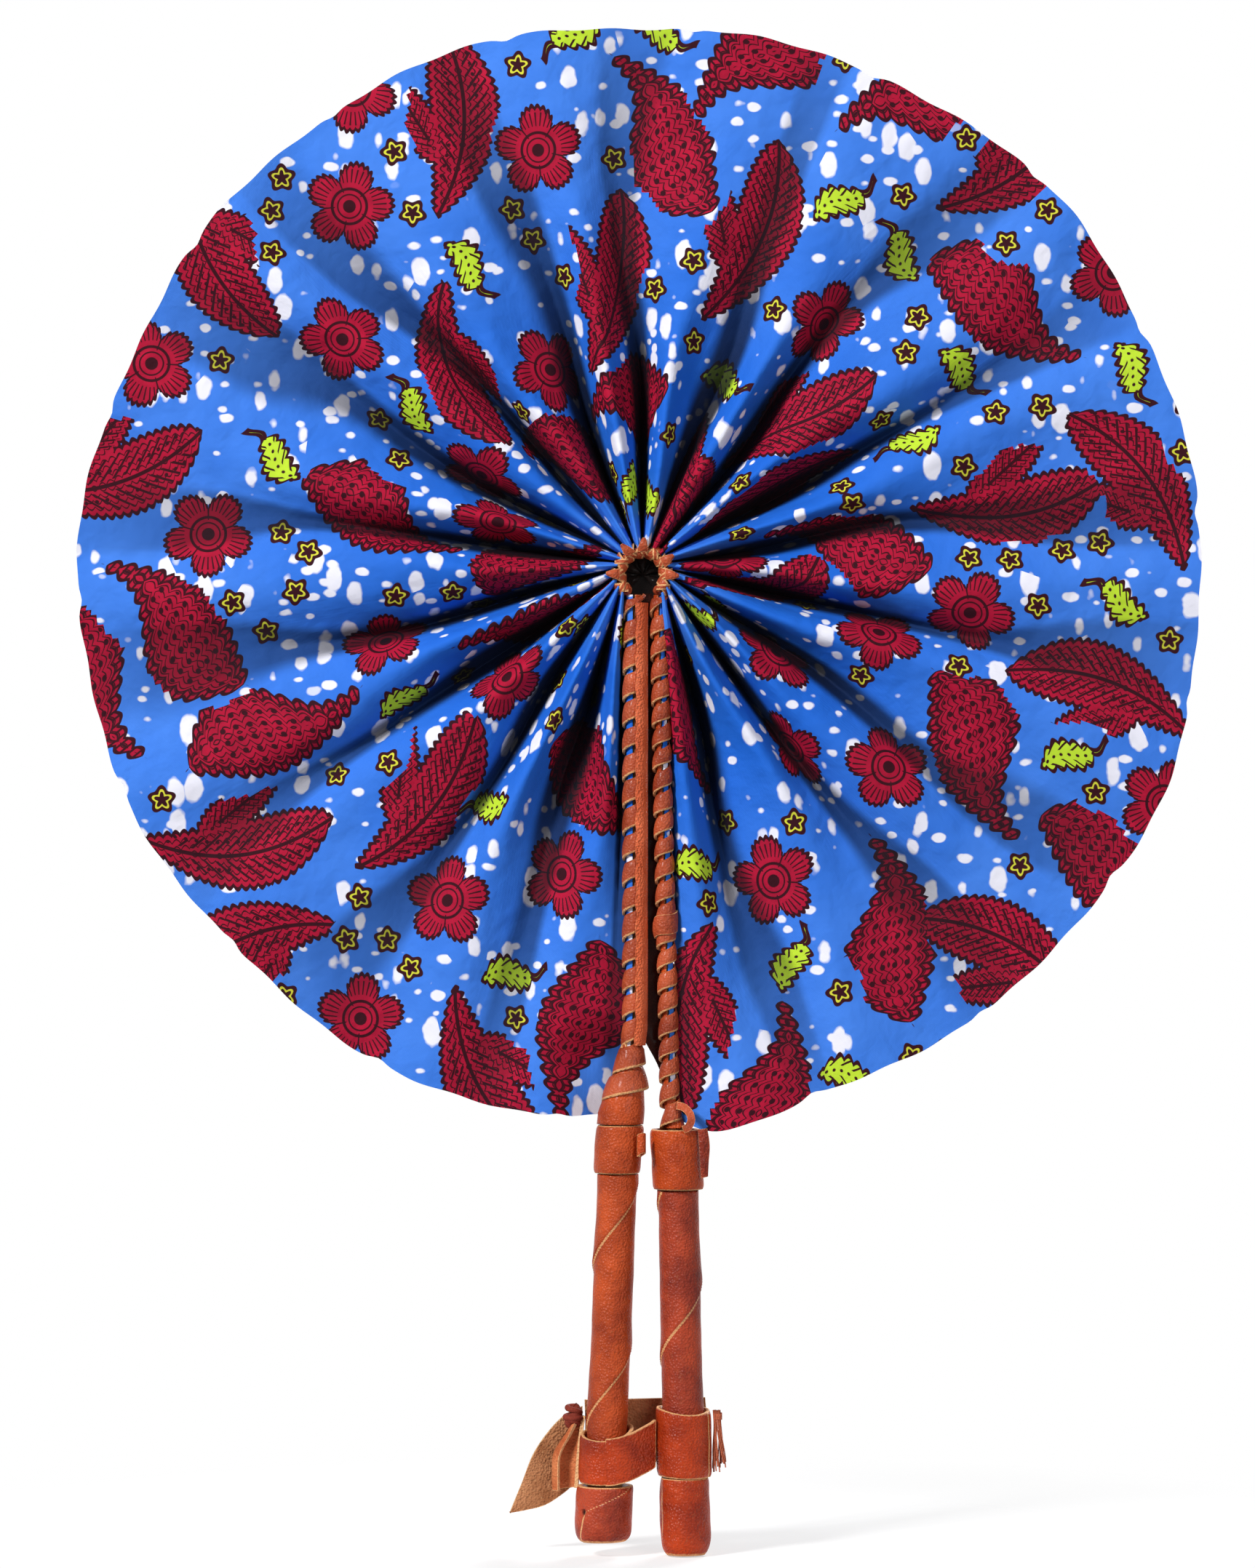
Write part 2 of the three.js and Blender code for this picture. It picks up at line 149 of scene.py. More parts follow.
# Meshes
def grid_faces(rows, columns, close_rows=False, close_columns=False):
    r, c = np.meshgrid(np.arange(rows if close_rows else rows - 1),
                       np.arange(columns if close_columns else columns - 1), indexing="ij")
    r2, c2 = (r + 1) % rows, (c + 1) % columns
    corners = [r * columns + c, r2 * columns + c, r2 * columns + c2, r * columns + c2]
    return np.stack(corners, -1).reshape(-1, 4)


def outward(points, faces):
    """The faces, turned so that the closed shape's normals point out of it."""
    groups = {}
    for face in faces:
        groups.setdefault(len(face), []).append(face)
    volume = 0.0
    for group in groups.values():
        corners = np.asarray(points)[np.array(group)]
        volume += float((corners[:, :1] * np.cross(corners[:, 1:-1], corners[:, 2:])).sum())
    return [tuple(int(i) for i in (face if volume > 0 else face[::-1])) for face in faces]


def linked(name, data):
    """A new object in the scene."""
    item = bpy.data.objects.new(name, data)
    bpy.context.scene.collection.objects.link(item)
    return item


def layer_values(values, count):
    """A layer's numbers, from one number, an array, or a list of rows that zeros fill up to the count."""
    if np.isscalar(values):
        return np.full(count, float(values))
    if isinstance(values, list):
        values = np.hstack(values)
        return np.append(values, np.zeros(max(0, count - len(values))))
    return np.asarray(values, float)


def add_piece(name, points, faces, material, body, stands_for=(), slot=None, **layers):
    """Makes one piece from points in millimetres, with its attribute layers, and lets it ride on a body."""
    points = np.asarray(points, float).reshape(-1, 3)
    mesh = bpy.data.meshes.new(name)
    mesh.from_pydata((points * MM).tolist(), [], outward(points, faces))
    mesh.polygons.foreach_set("use_smooth", [True] * len(mesh.polygons))
    for key, values in layers.items():
        values = layer_values(values, len(points))
        kind, key_of = ("FLOAT", "value") if values.ndim == 1 else ("FLOAT_VECTOR", "vector")
        domain = "POINT" if len(values) == len(points) else "CORNER"
        mesh.attributes.new(key, kind, domain).data.foreach_set(key_of, values.ravel())
    piece = linked(name, mesh)
    mesh.materials.append(material)
    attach(piece, body)
    if stands_for:
        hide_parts(*stands_for)
    return piece


def skin(loops, closed=False):
    """Points and faces of a body through loops of equal length, capped unless it closes on itself."""
    loops = np.asarray(loops, float)
    rows, columns = loops.shape[:2]
    faces = [tuple(f) for f in grid_faces(rows, columns, close_rows=closed, close_columns=True)]
    if not closed:
        faces.append(tuple(range(columns))[::-1])
        faces.append(tuple(range((rows - 1) * columns, rows * columns)))
    return loops.reshape(-1, 3), faces


def normals_of(surface):
    normal = np.cross(np.gradient(surface, axis=0), np.gradient(surface, axis=1))
    return normal / np.maximum(np.linalg.norm(normal, axis=-1, keepdims=True), 1e-9)


def border_of(rows, columns):
    """The points on a grid's border, in order round it."""
    index = np.arange(rows * columns).reshape(rows, columns)
    return np.concatenate([index[0, :-1], index[:-1, -1], index[-1, :0:-1], index[:0:-1, 0]])


def every_layer(values, shape):
    """A layer of a grid's points, repeated for both faces and the sides of its slab."""
    flat = values.reshape(shape[0] * shape[1], -1).squeeze()
    border = flat[border_of(*shape)]
    return np.concatenate([flat, flat, border, border])


def slab(surface, thickness, normal=None):
    """Points, faces and an edge layer of a thin sheet round this surface. Its sides have their own points."""
    surface = np.asarray(surface, float)
    rows, columns = surface.shape[:2]
    half = (normals_of(surface) if normal is None else normal) * thickness / 2
    front, back = [sheet.reshape(-1, 3) for sheet in (surface - half, surface + half)]
    border = border_of(rows, columns)
    count, around = rows * columns, len(border)
    quads = grid_faces(rows, columns)
    nearer = 2 * count + np.arange(around)
    farther = nearer + around
    sides = np.stack([nearer, np.roll(nearer, -1), np.roll(farther, -1), farther], -1)
    faces = [tuple(f) for f in np.concatenate([quads, count + quads[:, ::-1], sides])]
    edge = np.ones((rows, columns))
    edge[1:-1, 1:-1] = 0
    points = np.concatenate([front, back, front[border], back[border]])
    return points, faces, every_layer(edge, (rows, columns))


def add_sheet(name, surface, thickness, *look, pale=0.85):
    """A thin piece round a surface with pale cut edges. Its look is add_piece's material, body and so on."""
    points, faces, edge = slab(surface, thickness)
    return add_piece(name, points, faces, *look, edge=edge * pale)


def joined(shapes):
    """Several closed shapes as one mesh's points and faces."""
    points, faces, count = [], [], 0
    for some, those in shapes:
        points.append(some)
        faces += [tuple(int(i) + count for i in face) for face in outward(some, those)]
        count += len(some)
    return np.concatenate(points), faces


# Shader nodes and arithmetic
def fill(node, inputs):
    """Gives each named input of a node its number or colour, or a link from a socket or a Term."""
    for key, value in inputs.items():
        value = getattr(value, "socket", value)
        if isinstance(value, bpy.types.NodeSocket):
            node.id_data.links.new(value, node.inputs[key])
        else:
            node.inputs[key].default_value = value


def put(tree, kind, inputs=None, **settings):
    """Adds a node with these settings and inputs."""
    node = tree.nodes.new("ShaderNode" + kind)
    for key, value in settings.items():
        setattr(node, key, value)
    fill(node, inputs or {})
    return node


def operation(name):
    return lambda self, *others: self.node(name, *others)


class Term:
    """A number inside a shader, which ordinary arithmetic turns into Math nodes."""

    def __init__(self, socket):
        self.socket, self.tree = socket, socket.id_data

    def node(self, kind, *others, clamp=False):
        inputs = dict(enumerate((self, *others)))
        return Term(put(self.tree, "Math", inputs, operation=kind, use_clamp=clamp).outputs[0])

    __add__ = __radd__ = operation("ADD")
    __sub__ = operation("SUBTRACT")
    __mul__ = __rmul__ = operation("MULTIPLY")
    __truediv__ = operation("DIVIDE")
    __pow__ = operation("POWER")
    __abs__ = operation("ABSOLUTE")
    sin, cos, sqrt, fraction = [operation(name) for name in ("SINE", "COSINE", "SQRT", "FRACT")]
    least, most, above = operation("MINIMUM"), operation("MAXIMUM"), operation("GREATER_THAN")

    def __rsub__(self, other):
        return self.node("MULTIPLY_ADD", -1.0, other)

    def held(self):
        """The same number, held between 0 and 1."""
        return self.node("ADD", 0.0, clamp=True)

    def wave(self, pitch):
        """How far a repeated mark is from its nearest copy, in the same units as pitch."""
        return abs((self / pitch).fraction() - 0.5) * pitch

    def below(self, edge, soft=0.16):
        """1 where this is less than edge, 0 where it is more, with a soft step between."""
        return self.node("MULTIPLY_ADD", -1.0 / soft, edge / soft + 0.5, clamp=True)

    def equals(self, value):
        return self.node("COMPARE", value, 0.3)


def distance(x, y):
    return (x * x + y * y).sqrt()


def dome(t, power):
    """Falls from 1 in the middle to 0 at both ends, where t is 1 or -1."""
    return (1.0 - t * t).most(0.0) ** power


def linear(red, green, blue):
    """A colour as written in a paint program, from 0 to 255, as Blender's linear numbers."""
    parts = [c / 255 for c in (red, green, blue)]
    return tuple(c / 12.92 if c <= 0.04045 else ((c + 0.055) / 1.055) ** 2.4 for c in parts) + (1.0,)


def new_material(name, roughness, specular, base):
    material = bpy.data.materials.new(name)
    material.use_nodes = True
    material.diffuse_color = base
    shader = material.node_tree.nodes["Principled BSDF"]
    fill(shader, {"Roughness": roughness, "Specular IOR Level": specular})
    return material, material.node_tree, shader


def mixed(share, first, second):
    """A colour that goes from first to second with share."""
    return put(share.tree, "Mix", {0: share, 6: first, 7: second}, data_type="RGBA").outputs[2]


def layer(tree, key):
    """A mesh's attribute layer as a number."""
    return Term(put(tree, "Attribute", attribute_name=key).outputs["Fac"])


def vector_layer(tree, key):
    return put(tree, "Attribute", attribute_name=key).outputs["Vector"]


def object_place(tree):
    return put(tree, "TexCoord").outputs["Object"]


def parts_of(vector):
    return [Term(socket) for socket in put(vector.id_data, "SeparateXYZ", {0: vector}).outputs]


def stretched(vector, scale):
    """A vector times a scale for each axis."""
    return put(vector.id_data, "VectorMath", {0: vector, 1: scale}, operation="MULTIPLY").outputs[0]


def noise(vector, scale, detail, rough=0.55):
    inputs = {"Vector": vector, "Scale": scale, "Detail": detail, "Roughness": rough}
    return Term(put(vector.id_data, "TexNoise", inputs).outputs["Fac"])


def cells(vector, scale):
    return put(vector.id_data, "TexVoronoi", {"Vector": vector, "Scale": scale})


def bump(shader, *heights):
    """Bumps of (height, strength, distance in metres), one on top of the other."""
    normal = {}
    for height, strength, reach in heights:
        node = put(height.tree, "Bump", {"Strength": strength, "Distance": reach, "Height": height, **normal})
        normal = {"Normal": node.outputs["Normal"]}
    fill(shader, normal)


# Printed cotton: motifs drawn from each face's place inside its motif
FROND, POD, BLOSSOM, SPRIG, FLORET = range(5)
NO_MOTIF = 9
BLUE = linear(74, 134, 230)
BLUE_DEEP = linear(46, 108, 208)
# Painted shade: the deeper blue of light bounced between the folds near the ring.
BLUE_PAINTED_FOLD_SHADE = linear(14, 92, 198)
CRIMSON = linear(190, 20, 57)
CRIMSON_DEEP = linear(128, 12, 40)
MAROON = linear(46, 6, 18)
WHITE = linear(230, 230, 242)
LIME = linear(184, 216, 52)
YELLOW = linear(206, 204, 62)
# Painted shadow: the near black that the valleys of the folds are mixed toward.
PAINTED_FOLD_SHADOW = linear(6, 8, 16)
# White grains: stretch of the cells, their scale, the grains' size, and the share of cells with one.
GRAINS = ((1.0, 1.0, 0.62), 0.16, 0.3, 0.85), ((0.66, 1.0, 1.0), 0.23, 0.24, 0.7)


def leaf_blade(x, y, half, width, bend, teeth, taper):
    """Signed distance to a toothed blade, and the distance from its midrib."""
    y = y + (x * x) * bend - bend * half * half * 0.4
    t = x / half
    edge = dome(t, 0.7) * width * (1.0 - t * taper) + abs((x * teeth).sin()) * 0.95
    return abs(y) - edge + (abs(t) - 1.0).most(0.0) * half, abs(y)


def frond(x, y):
    """A long toothed leaf with a small one beside it."""
    d, rib = leaf_blade(x, y, 24.0, 8.2, 0.011, 1.5, 0.35)
    u, v = x * 0.82 + y * 0.57 + 5.5, y * 0.82 - x * 0.57 + 7.6
    d2, rib2 = leaf_blade(u, v, 13.0, 4.6, 0.0, 1.7, -0.2)
    veins = (x + rib * 1.1).wave(3.0).below(0.42) * rib.above(1.3)
    spots = distance((x + 1.0).wave(2.6), rib - 3.4).below(0.5)
    first = rib.below(0.5).most(veins * d.below(-2.3)).most(spots)
    second = rib2.below(0.4).most((u + rib2).wave(2.2).below(0.3) * d2.below(-1.6))
    return d.least(d2), first * d.below(0.0) + second * d2.below(0.0) * (1.0 - d.below(0.0))


def pod(x, y):
    """A broad scalloped pod with seeds, a comb along one side and a tail."""
    y = y + (x * 0.13).sin() * 3.4
    t = x / 23.0
    width = dome(t, 0.55) * (7.6 + (t * 2.6 + 0.9).cos() * 4.8)
    comb = abs((x * 0.95).sin()) * 1.5
    d = abs(y) - width - comb + (abs(t) - 1.0).most(0.0) * 23.0
    band = abs(d + 3.1).below(0.32)
    seeds = distance(x.wave(3.4), y.wave(3.2)).below(0.72) * d.below(-4.6)
    hatch = x.wave(1.5).below(0.26) * abs(d + 2.0).below(1.0)
    return d, (band + seeds + hatch).least(1.0)


def blossom(x, y):
    """A five-petalled scalloped flower with a ringed eye."""
    r, turn = distance(x, y), y.node("ARCTAN2", x)
    petal = abs((turn * 2.5).cos())
    d = r - (5.6 + petal ** 0.55 * 5.2 + abs((turn * 22.5).sin()) * 0.8)
    rays = abs((turn * 20.0).sin()).below(0.45, 0.3) * abs(r - 7.6).below(1.7)
    gaps = petal.below(0.09, 0.06) * r.above(3.6)
    rings = abs(r - 4.3).below(0.36) + r.below(1.6) + abs(r - 2.9).below(0.2)
    return d, (rays + gaps + rings).least(1.0)


def sprig(x, y):
    """A small leaf with a curled stalk and a bar of dots."""
    bent = y + (x * 0.42).sin() * 1.2
    t = (x - 1.5) / 6.6
    width = dome(t, 0.6) * 3.5 + abs((x * 1.3).sin()) * 1.3
    d = abs(bent) - width + (abs(t) - 1.0).most(0.0) * 6.6
    stalk = (abs(y - (x * 0.8).sin() * 1.3) - 1.15).most(abs(x + 6.2) - 3.4)
    dots = distance(x.wave(1.9), bent).below(0.42)
    bars = abs((x * 0.9 + abs(bent)).wave(2.6)).below(0.3) * abs(bent).above(1.2)
    return d.least(stalk), (dots + bars) * d.below(-0.4)


def floret(x, y):
    """A tiny dark flower with a yellow ring in it."""
    d = distance(x, y) - 3.15 - (y.node("ARCTAN2", x) * 5.0).cos() * 0.5
    return d, abs(d + 1.35).below(0.3)


def grained_blue(cloth, wobble):
    """The print's ground: blue, with painted shade that deepens it in the folds near the ring, and white
    grains.
    """
    colour = mixed(noise(cloth, 0.05, 2.0), BLUE_DEEP, BLUE)
    u, _, w = parts_of(cloth)
    r = distance(u, w - HUB_Z)
    # Painted shade: a deeper blue in the folds, out to about 112 mm from the hub.
    painted_fold_shade = ((112.0 - r) * 0.016).held() * ((r - 9.0) * 0.06).held()
    colour = mixed(painted_fold_shade * 0.8, colour, BLUE_PAINTED_FOLD_SHADE)
    for stretch, scale, size, share in GRAINS:
        grain = cells(stretched(cloth, stretch), scale)
        chance = parts_of(grain.outputs["Color"])
        spread = Term(grain.outputs["Distance"]) + wobble * 0.22
        spots = (spread - size * (0.5 + chance[1] * 0.8)).below(0.0, 0.07)
        colour = mixed(spots * chance[0].below(share, 0.01), colour, WHITE)
    return colour


def print_colour(tree, cloth):
    """The cloth's colour: the grained blue, motifs in crimson, lime and maroon, and painted shadow in the
    fold valleys.
    """
    x, y, kind = parts_of(vector_layer(tree, "motif"))
    wobble = noise(cloth, 0.35, 1.0) - 0.5
    near, lines = wobble * 0.5, 0.0
    for number, draw in enumerate((frond, pod, blossom, sprig, floret)):
        d, ink = draw(x, y)
        mine = kind.equals(float(number))
        near, lines = d * mine + near, ink * mine + lines
    printed = 1.0 - kind.above(NO_MOTIF - 1.0)
    inside = near.below(0.0) * printed
    contour = near.wave(1.7).below(0.2) * near.below(-1.7) * kind.node("LESS_THAN", BLOSSOM - 0.5)
    core = near.below(-1.15) * (1.0 - lines.most(contour)) * printed
    tiny = kind.equals(float(FLORET))
    fill_colour = mixed(noise(cloth, 0.22, 2.0), CRIMSON_DEEP, CRIMSON)
    fill_colour = mixed(kind.equals(float(SPRIG)), fill_colour, LIME)
    fill_colour = mixed(tiny, fill_colour, MAROON)
    colour = mixed(inside, grained_blue(cloth, wobble), MAROON)
    colour = mixed(core, colour, fill_colour)
    colour = mixed(tiny * lines * inside, colour, YELLOW)
    # Painted shadow in the valleys of the folds, from the shade layer.
    return mixed(layer(tree, "shade"), colour, PAINTED_FOLD_SHADOW)


def cotton_print():
    material, tree, shader = new_material("cotton_print", 0.75, 0.12, BLUE)
    cloth = vector_layer(tree, "cloth")
    fill(shader, {"Base Color": print_colour(tree, cloth)})
    u, v, w = parts_of(cloth)
    weave = (u * 14.0).sin() * (w * 14.0).sin() + (v * 14.0).sin() * 0.4
    crinkle = noise(cloth, 0.11, 4.0, 0.5)
    bump(shader, (crinkle, 0.5, 0.003), (weave, 0.25, 0.00012))
    return material


# Leather, suede, thread and wood
CUT_TAN = 212, 156, 106
CUT_PALE = 226, 178, 128


def leather(name, base, deep, cut=CUT_TAN, roughness=0.4, grain=1.0, wear=0.5):
    """Grained leather: tan on raw edges (layer edge) and seams (layer lap), and near black with painted
    shadow in holes and on pieces that only stand in for shade.
    """
    base, deep, cut = linear(*base), linear(*deep), linear(*cut)
    material, tree, shader = new_material(name, roughness, 0.14, base)
    where = object_place(tree)
    patches = noise(where, 95.0, 4.0, 0.6)
    fine = noise(where, 900.0, 3.0, 0.6)
    edge, lapped, dark = [layer(tree, key) for key in ("edge", "lap", "dark")]
    frayed = ((edge + (patches - 0.5) * 0.4 + (fine - 0.5) * 0.5 - 0.5) * 3.5).held()
    seam = ((lapped + (patches - 0.5) * 0.03 - 0.89) * 40.0).held()
    colour = mixed(((patches - 0.5) * 3.4 + 0.5).held(), deep, base)
    for share in ((fine - 0.6).most(0.0) * 1.5 * wear, frayed, seam * 0.95):
        colour = mixed(share, colour, cut)
    # Painted shadow: near black where the third layer says so.
    colour = mixed(dark, colour, linear(14, 6, 5))
    pores = Term(cells(where, 1700.0).outputs["Distance"])
    creases = noise(where, 320.0, 4.0, 0.65)
    bump(shader, (creases, 0.35 * grain, 0.0005), (pores, 0.9 * grain, 0.00028))
    gloss = roughness + (fine - 0.5) * 0.2 + frayed * 0.35 + dark * 0.5
    coat = 0.07 if roughness < 0.6 else 0.0
    fill(shader, {"Base Color": colour, "Roughness": gloss, "Coat Weight": coat, "Coat Roughness": 0.14})
    return material


def streaked(name, roughness, specular, low, high, strength, stretch, scale, detail):
    """Thread or wood: two colours in fine streaks, which are bumps too."""
    low, high = linear(*low), linear(*high)
    material, tree, shader = new_material(name, roughness, specular, high)
    streaks = noise(stretched(object_place(tree), stretch), scale, detail)
    fill(shader, {"Base Color": mixed(streaks, low, high)})
    bump(shader, (streaks, strength, 0.0003))
    return material


def thread(name, low, high):
    return streaked(name, 0.8, 0.2, low, high, 0.6, (1.0, 1.0, 1.0), 2600.0, 2.0)


COTTON = cotton_print()
LEATHER_LEFT = leather("leather_left", (188, 76, 32), (138, 48, 18))
LEATHER_RIGHT = leather("leather_right", (170, 64, 36), (112, 34, 22))
LEATHER_SLEEVE = leather("leather_sleeve", (192, 76, 28), (150, 50, 16))
THONG = leather("thong_leather", (184, 84, 50), (132, 50, 28), CUT_TAN, 0.42, 0.9, 0.6)
STRAP = leather("strap_leather", (176, 58, 18), (128, 34, 8), CUT_TAN, 0.34)
FACING = leather("facing_leather", (230, 114, 72), (194, 82, 44), CUT_TAN, 0.45, 1.3, 0.6)
SUEDE = leather("suede", (188, 130, 90), (142, 88, 54), CUT_PALE, 0.85, 1.6, 1.0)
SUEDE_RED = leather("suede_red", (206, 122, 76), (170, 80, 42), CUT_PALE, 0.8, 1.5, 0.8)
THREAD = thread("thread_red", (84, 26, 20), (150, 62, 44))
THREAD_TAN = thread("thread_tan", (120, 44, 30), (206, 116, 80))
WOOD = streaked("stick_wood", 0.6, 0.3, (120, 82, 48), (186, 140, 92), 0.4, (1.0, 1.0, 0.06), 700.0, 4.0)


# Leaf
THROWS = 9000
LEAF_COLUMNS, LEAF_ROWS, SEAM_COLUMNS = 72, 116, 6


def breadth(r):
    """Millimetres of cloth for each radian of the open leaf. Gathered cloth has more than shows."""
    return 0.5 * (r + 88 + np.sqrt((r - 88) ** 2 + 500))


def apart(a, b):
    across = (a[0] - b[0]) * OPEN_ANGLE * breadth((a[1] + b[1]) / 2)
    return hypot(across, a[1] - b[1])


def layout():
    """Each motif's place on the open cloth, from seeded throws: kind, turn, radius, angle, reach, width."""
    dice = random.Random(41)
    plans = [((FROND, POD), 40, [-14, 0, 14], 8.6), ((BLOSSOM,), 24, [0], 11.4),
             ((SPRIG,), 24, [-4, 4], 5.4), ((FLORET,), 84, [0], 4.2)]
    placed, circles = [], []
    for kinds, wanted, offsets, radius in plans:
        made = 0
        for _ in range(THROWS):
            if made == wanted:
                break
            turn = dice.uniform(0, 1)
            r = sqrt(dice.uniform(14.0 ** 2, 141.0 ** 2))
            angle = dice.uniform(0, tau)
            spots = [(turn + o * cos(angle) / (OPEN_ANGLE * breadth(r)), r + o * sin(angle), radius)
                     for o in offsets]
            if all(apart(a, b) > a[2] + b[2] for a in spots for b in circles):
                placed.append((kinds[made % len(kinds)], turn, r, angle, max(offsets), radius))
                circles += spots
                made += 1
    return placed


def pleat_phase(turn, r):
    """Counts the pleats across the leaf, whose first and last half pleats beside the sticks are narrow."""
    pleat = np.clip(turn * PLEATS, 0, PLEATS)
    near_ends = (1 - np.exp(-pleat / 0.12)) * (1 - np.exp(-(PLEATS - pleat) / 0.12))
    wander = 0.1 * np.sin(61 * turn + 0.03 * r) + 0.06 * np.sin(97 * turn - 0.05 * r + 2)
    return pleat + (0.34 * (1 - 2 * turn) + wander * smooth(14, 60, r)) * near_ends


def leaf_depth(turn, r, v):
    """How far each place of the open leaf lies behind the front, and its share of its fold's depth.
    The folds are deep at the ring, with soft waves at the rim."""
    phase = pleat_phase(turn, r)
    away = np.abs(phase % 1 - 0.5)
    blunt = along([(-8, 0.3), (-20, 0.26), (-45, 0.18), (-65, 0.18), (-90, 0.3), (-120, 0.6)], -r)
    sharp = (np.sqrt(away ** 2 + blunt ** 2) - blunt) / (np.sqrt(0.25 + blunt ** 2) - blunt)
    soft = 0.5 - 0.5 * np.cos(tau * away)
    fold = sharp + (soft - sharp) * smooth(72, 108, r)
    vary = 1 + 0.14 * np.sin(41 * turn + 0.4) + 0.1 * np.sin(83 * turn + 2)
    ends = 0.45 + 0.55 * smooth(0, 0.5, turn * PLEATS) * smooth(0, 0.5, (1 - turn) * PLEATS)
    depth = along([(-8, 7.5), (-18, 13), (-32, 16), (-50, 13), (-70, 9), (-90, 5.5), (-115, 3), (-145, 1.6)],
                  -r)
    gathers = 0.35 * np.sin(3 * tau * phase + 1.7 * np.sin(30 * turn)) * (1 - smooth(30, 65, r))
    waves = (0.9 * np.sin(turn * 31 + r * 0.045) + 0.6 * np.sin(turn * 53 - r * 0.07 + 1)
             + 0.35 * np.sin(turn * 149 + r * 0.02)) * smooth(40, 110, r)
    across = turn * OPEN_ANGLE * r
    tuck = 6.6 * smooth(108, 120, r) * np.exp(-((np.maximum(across - 4, 0) / 9) ** 2))
    return -2.6 + 1.9 * v + depth * fold * vary * ends + gathers + waves * ends + tuck, fold


def seam_columns(border, stick):
    """Columns of cloth from the leaf's end to the side of the stick that it is laced to."""
    z = border[:, 2] - HUB_Z
    behind = smooth(-112, -120, z) * (stick.side < 0)
    x = along(stick.axis, z) + stick.side * (1.9 - 1.5 * behind)
    held = np.stack([x, 0.7 + 6.3 * behind, border[:, 2]], -1)
    shares = np.linspace(1, 0, SEAM_COLUMNS + 1)[1:]
    return np.stack([held + (border - held) * np.array([t, t ** 0.7, t]) for t in shares])


def whole_leaf():
    """The leaf's middle surface with its turn, radius and length along the cloth, column by column."""
    turn = np.linspace(0, 1, SEGMENTS * LEAF_COLUMNS + 1)
    v = np.linspace(0, 1, LEAF_ROWS + 1) ** 1.25
    turn, v = np.meshgrid(turn, v, indexing="ij")
    rim = rim_angle(turn)
    notch = 0.8 * np.exp(-((((turn * PLEATS) + 0.2) % 1 - 0.5) / 0.05) ** 2) + 0.25 * np.sin(turn * 290)
    inner, outer = bearing(ring_angle(turn), LEAF_IN), bearing(rim, rim_radius(rim) - notch)
    x, z = [a + (b - a) * v for a, b in zip(inner, outer)]
    r = np.hypot(x, z - HUB_Z)
    depth, fold = leaf_depth(turn, r, v)
    surface = np.stack([x, depth, z], -1)
    first, last = seam_columns(surface[0], LEFT)[::-1], seam_columns(surface[-1], RIGHT)
    surface = np.concatenate([first, surface, last])
    r, turn, fold = [np.pad(a, ((SEAM_COLUMNS, SEAM_COLUMNS), (0, 0)), "edge") for a in (r, turn, fold)]
    steps = np.linalg.norm(np.diff(surface, axis=0), axis=-1)
    length = np.pad(np.cumsum(steps, 0), ((1, 0), (0, 0)))
    return SimpleNamespace(surface=surface, turn=turn, r=r, length=length, fold=fold)


def crease_shade(fold, r):
    """Painted shadow in a fold's valley: full in the deep folds round the ring, hardly any at the rim."""
    start = along([(-6, 0.38), (-14, 0.36), (-24, 0.3), (-40, 0.4), (-60, 0.52), (-90, 0.6)], -r)
    most = along([(-6, 0.98), (-50, 0.96), (-70, 0.85), (-95, 0.66), (-125, 0.34), (-140, 0.1)], -r)
    return most * smooth(0, 0.24, fold - start)


def motif_layer(leaf, part, faces, motifs):
    """For each face's corners, their place inside the nearest motif in millimetres, and that motif's kind."""
    shape = leaf.turn[part].shape
    row_of = every_layer(np.indices(shape)[1], shape)
    turn_of, r_of, length_of = [every_layer(a[part], shape) for a in (leaf.turn, leaf.r, leaf.length)]
    core = leaf.length[SEAM_COLUMNS:-SEAM_COLUMNS]
    faces = np.asarray(faces)
    best = np.full(len(faces), np.inf)
    values = np.full((len(faces), 4, 3), (0, 0, NO_MOTIF), float)
    for kind, turn0, r0, angle, reach, radius in motifs:
        place = turn0 * (len(core) - 1)
        low = min(int(place), len(core) - 2)
        middle = (core[low] + (core[low + 1] - core[low]) * (place - low))[row_of]
        swing = np.clip((turn_of - turn0) * OPEN_ANGLE, -1.5, 1.5)
        across = length_of - middle
        down = r_of - r0 - smooth(60, 95, r0) * r_of * (1 - np.cos(swing))
        x = across * cos(angle) + down * sin(angle)
        y = down * cos(angle) - across * sin(angle)
        far = np.hypot(np.maximum(np.abs(x) - reach, 0), y) - radius
        far = np.where(np.abs(across) > 70, np.inf, far)[faces].mean(1)
        mine = far < best
        best[mine] = far[mine]
        values[mine] = np.stack([x, y, np.full(len(x), float(kind))], -1)[faces[mine]]
    return values


def fold_leaf(piece, index):
    """Works out the slightly leaning axis and the anchor for a part of the leaf's fold, which go unused, and
    gives the piece its own mesh.
    """
    share = (index + 0.5) / SEGMENTS
    start = np.insert(bearing(ring_angle(share), LEAF_IN), 1, 0)
    run = np.insert(bearing(rim_angle(share), RIM_RADIUS), 1, 0) - start
    run /= np.linalg.norm(run)
    clear = 2 * index / (SEGMENTS - 1) - 1
    axis = np.array([-run[2], 0, run[0]]) - FOLDED_LEAN * clear * run
    axis /= np.linalg.norm(axis)
    anchor = (start + axis * FOLDED_ASIDE * clear) * MM
    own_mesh(piece)


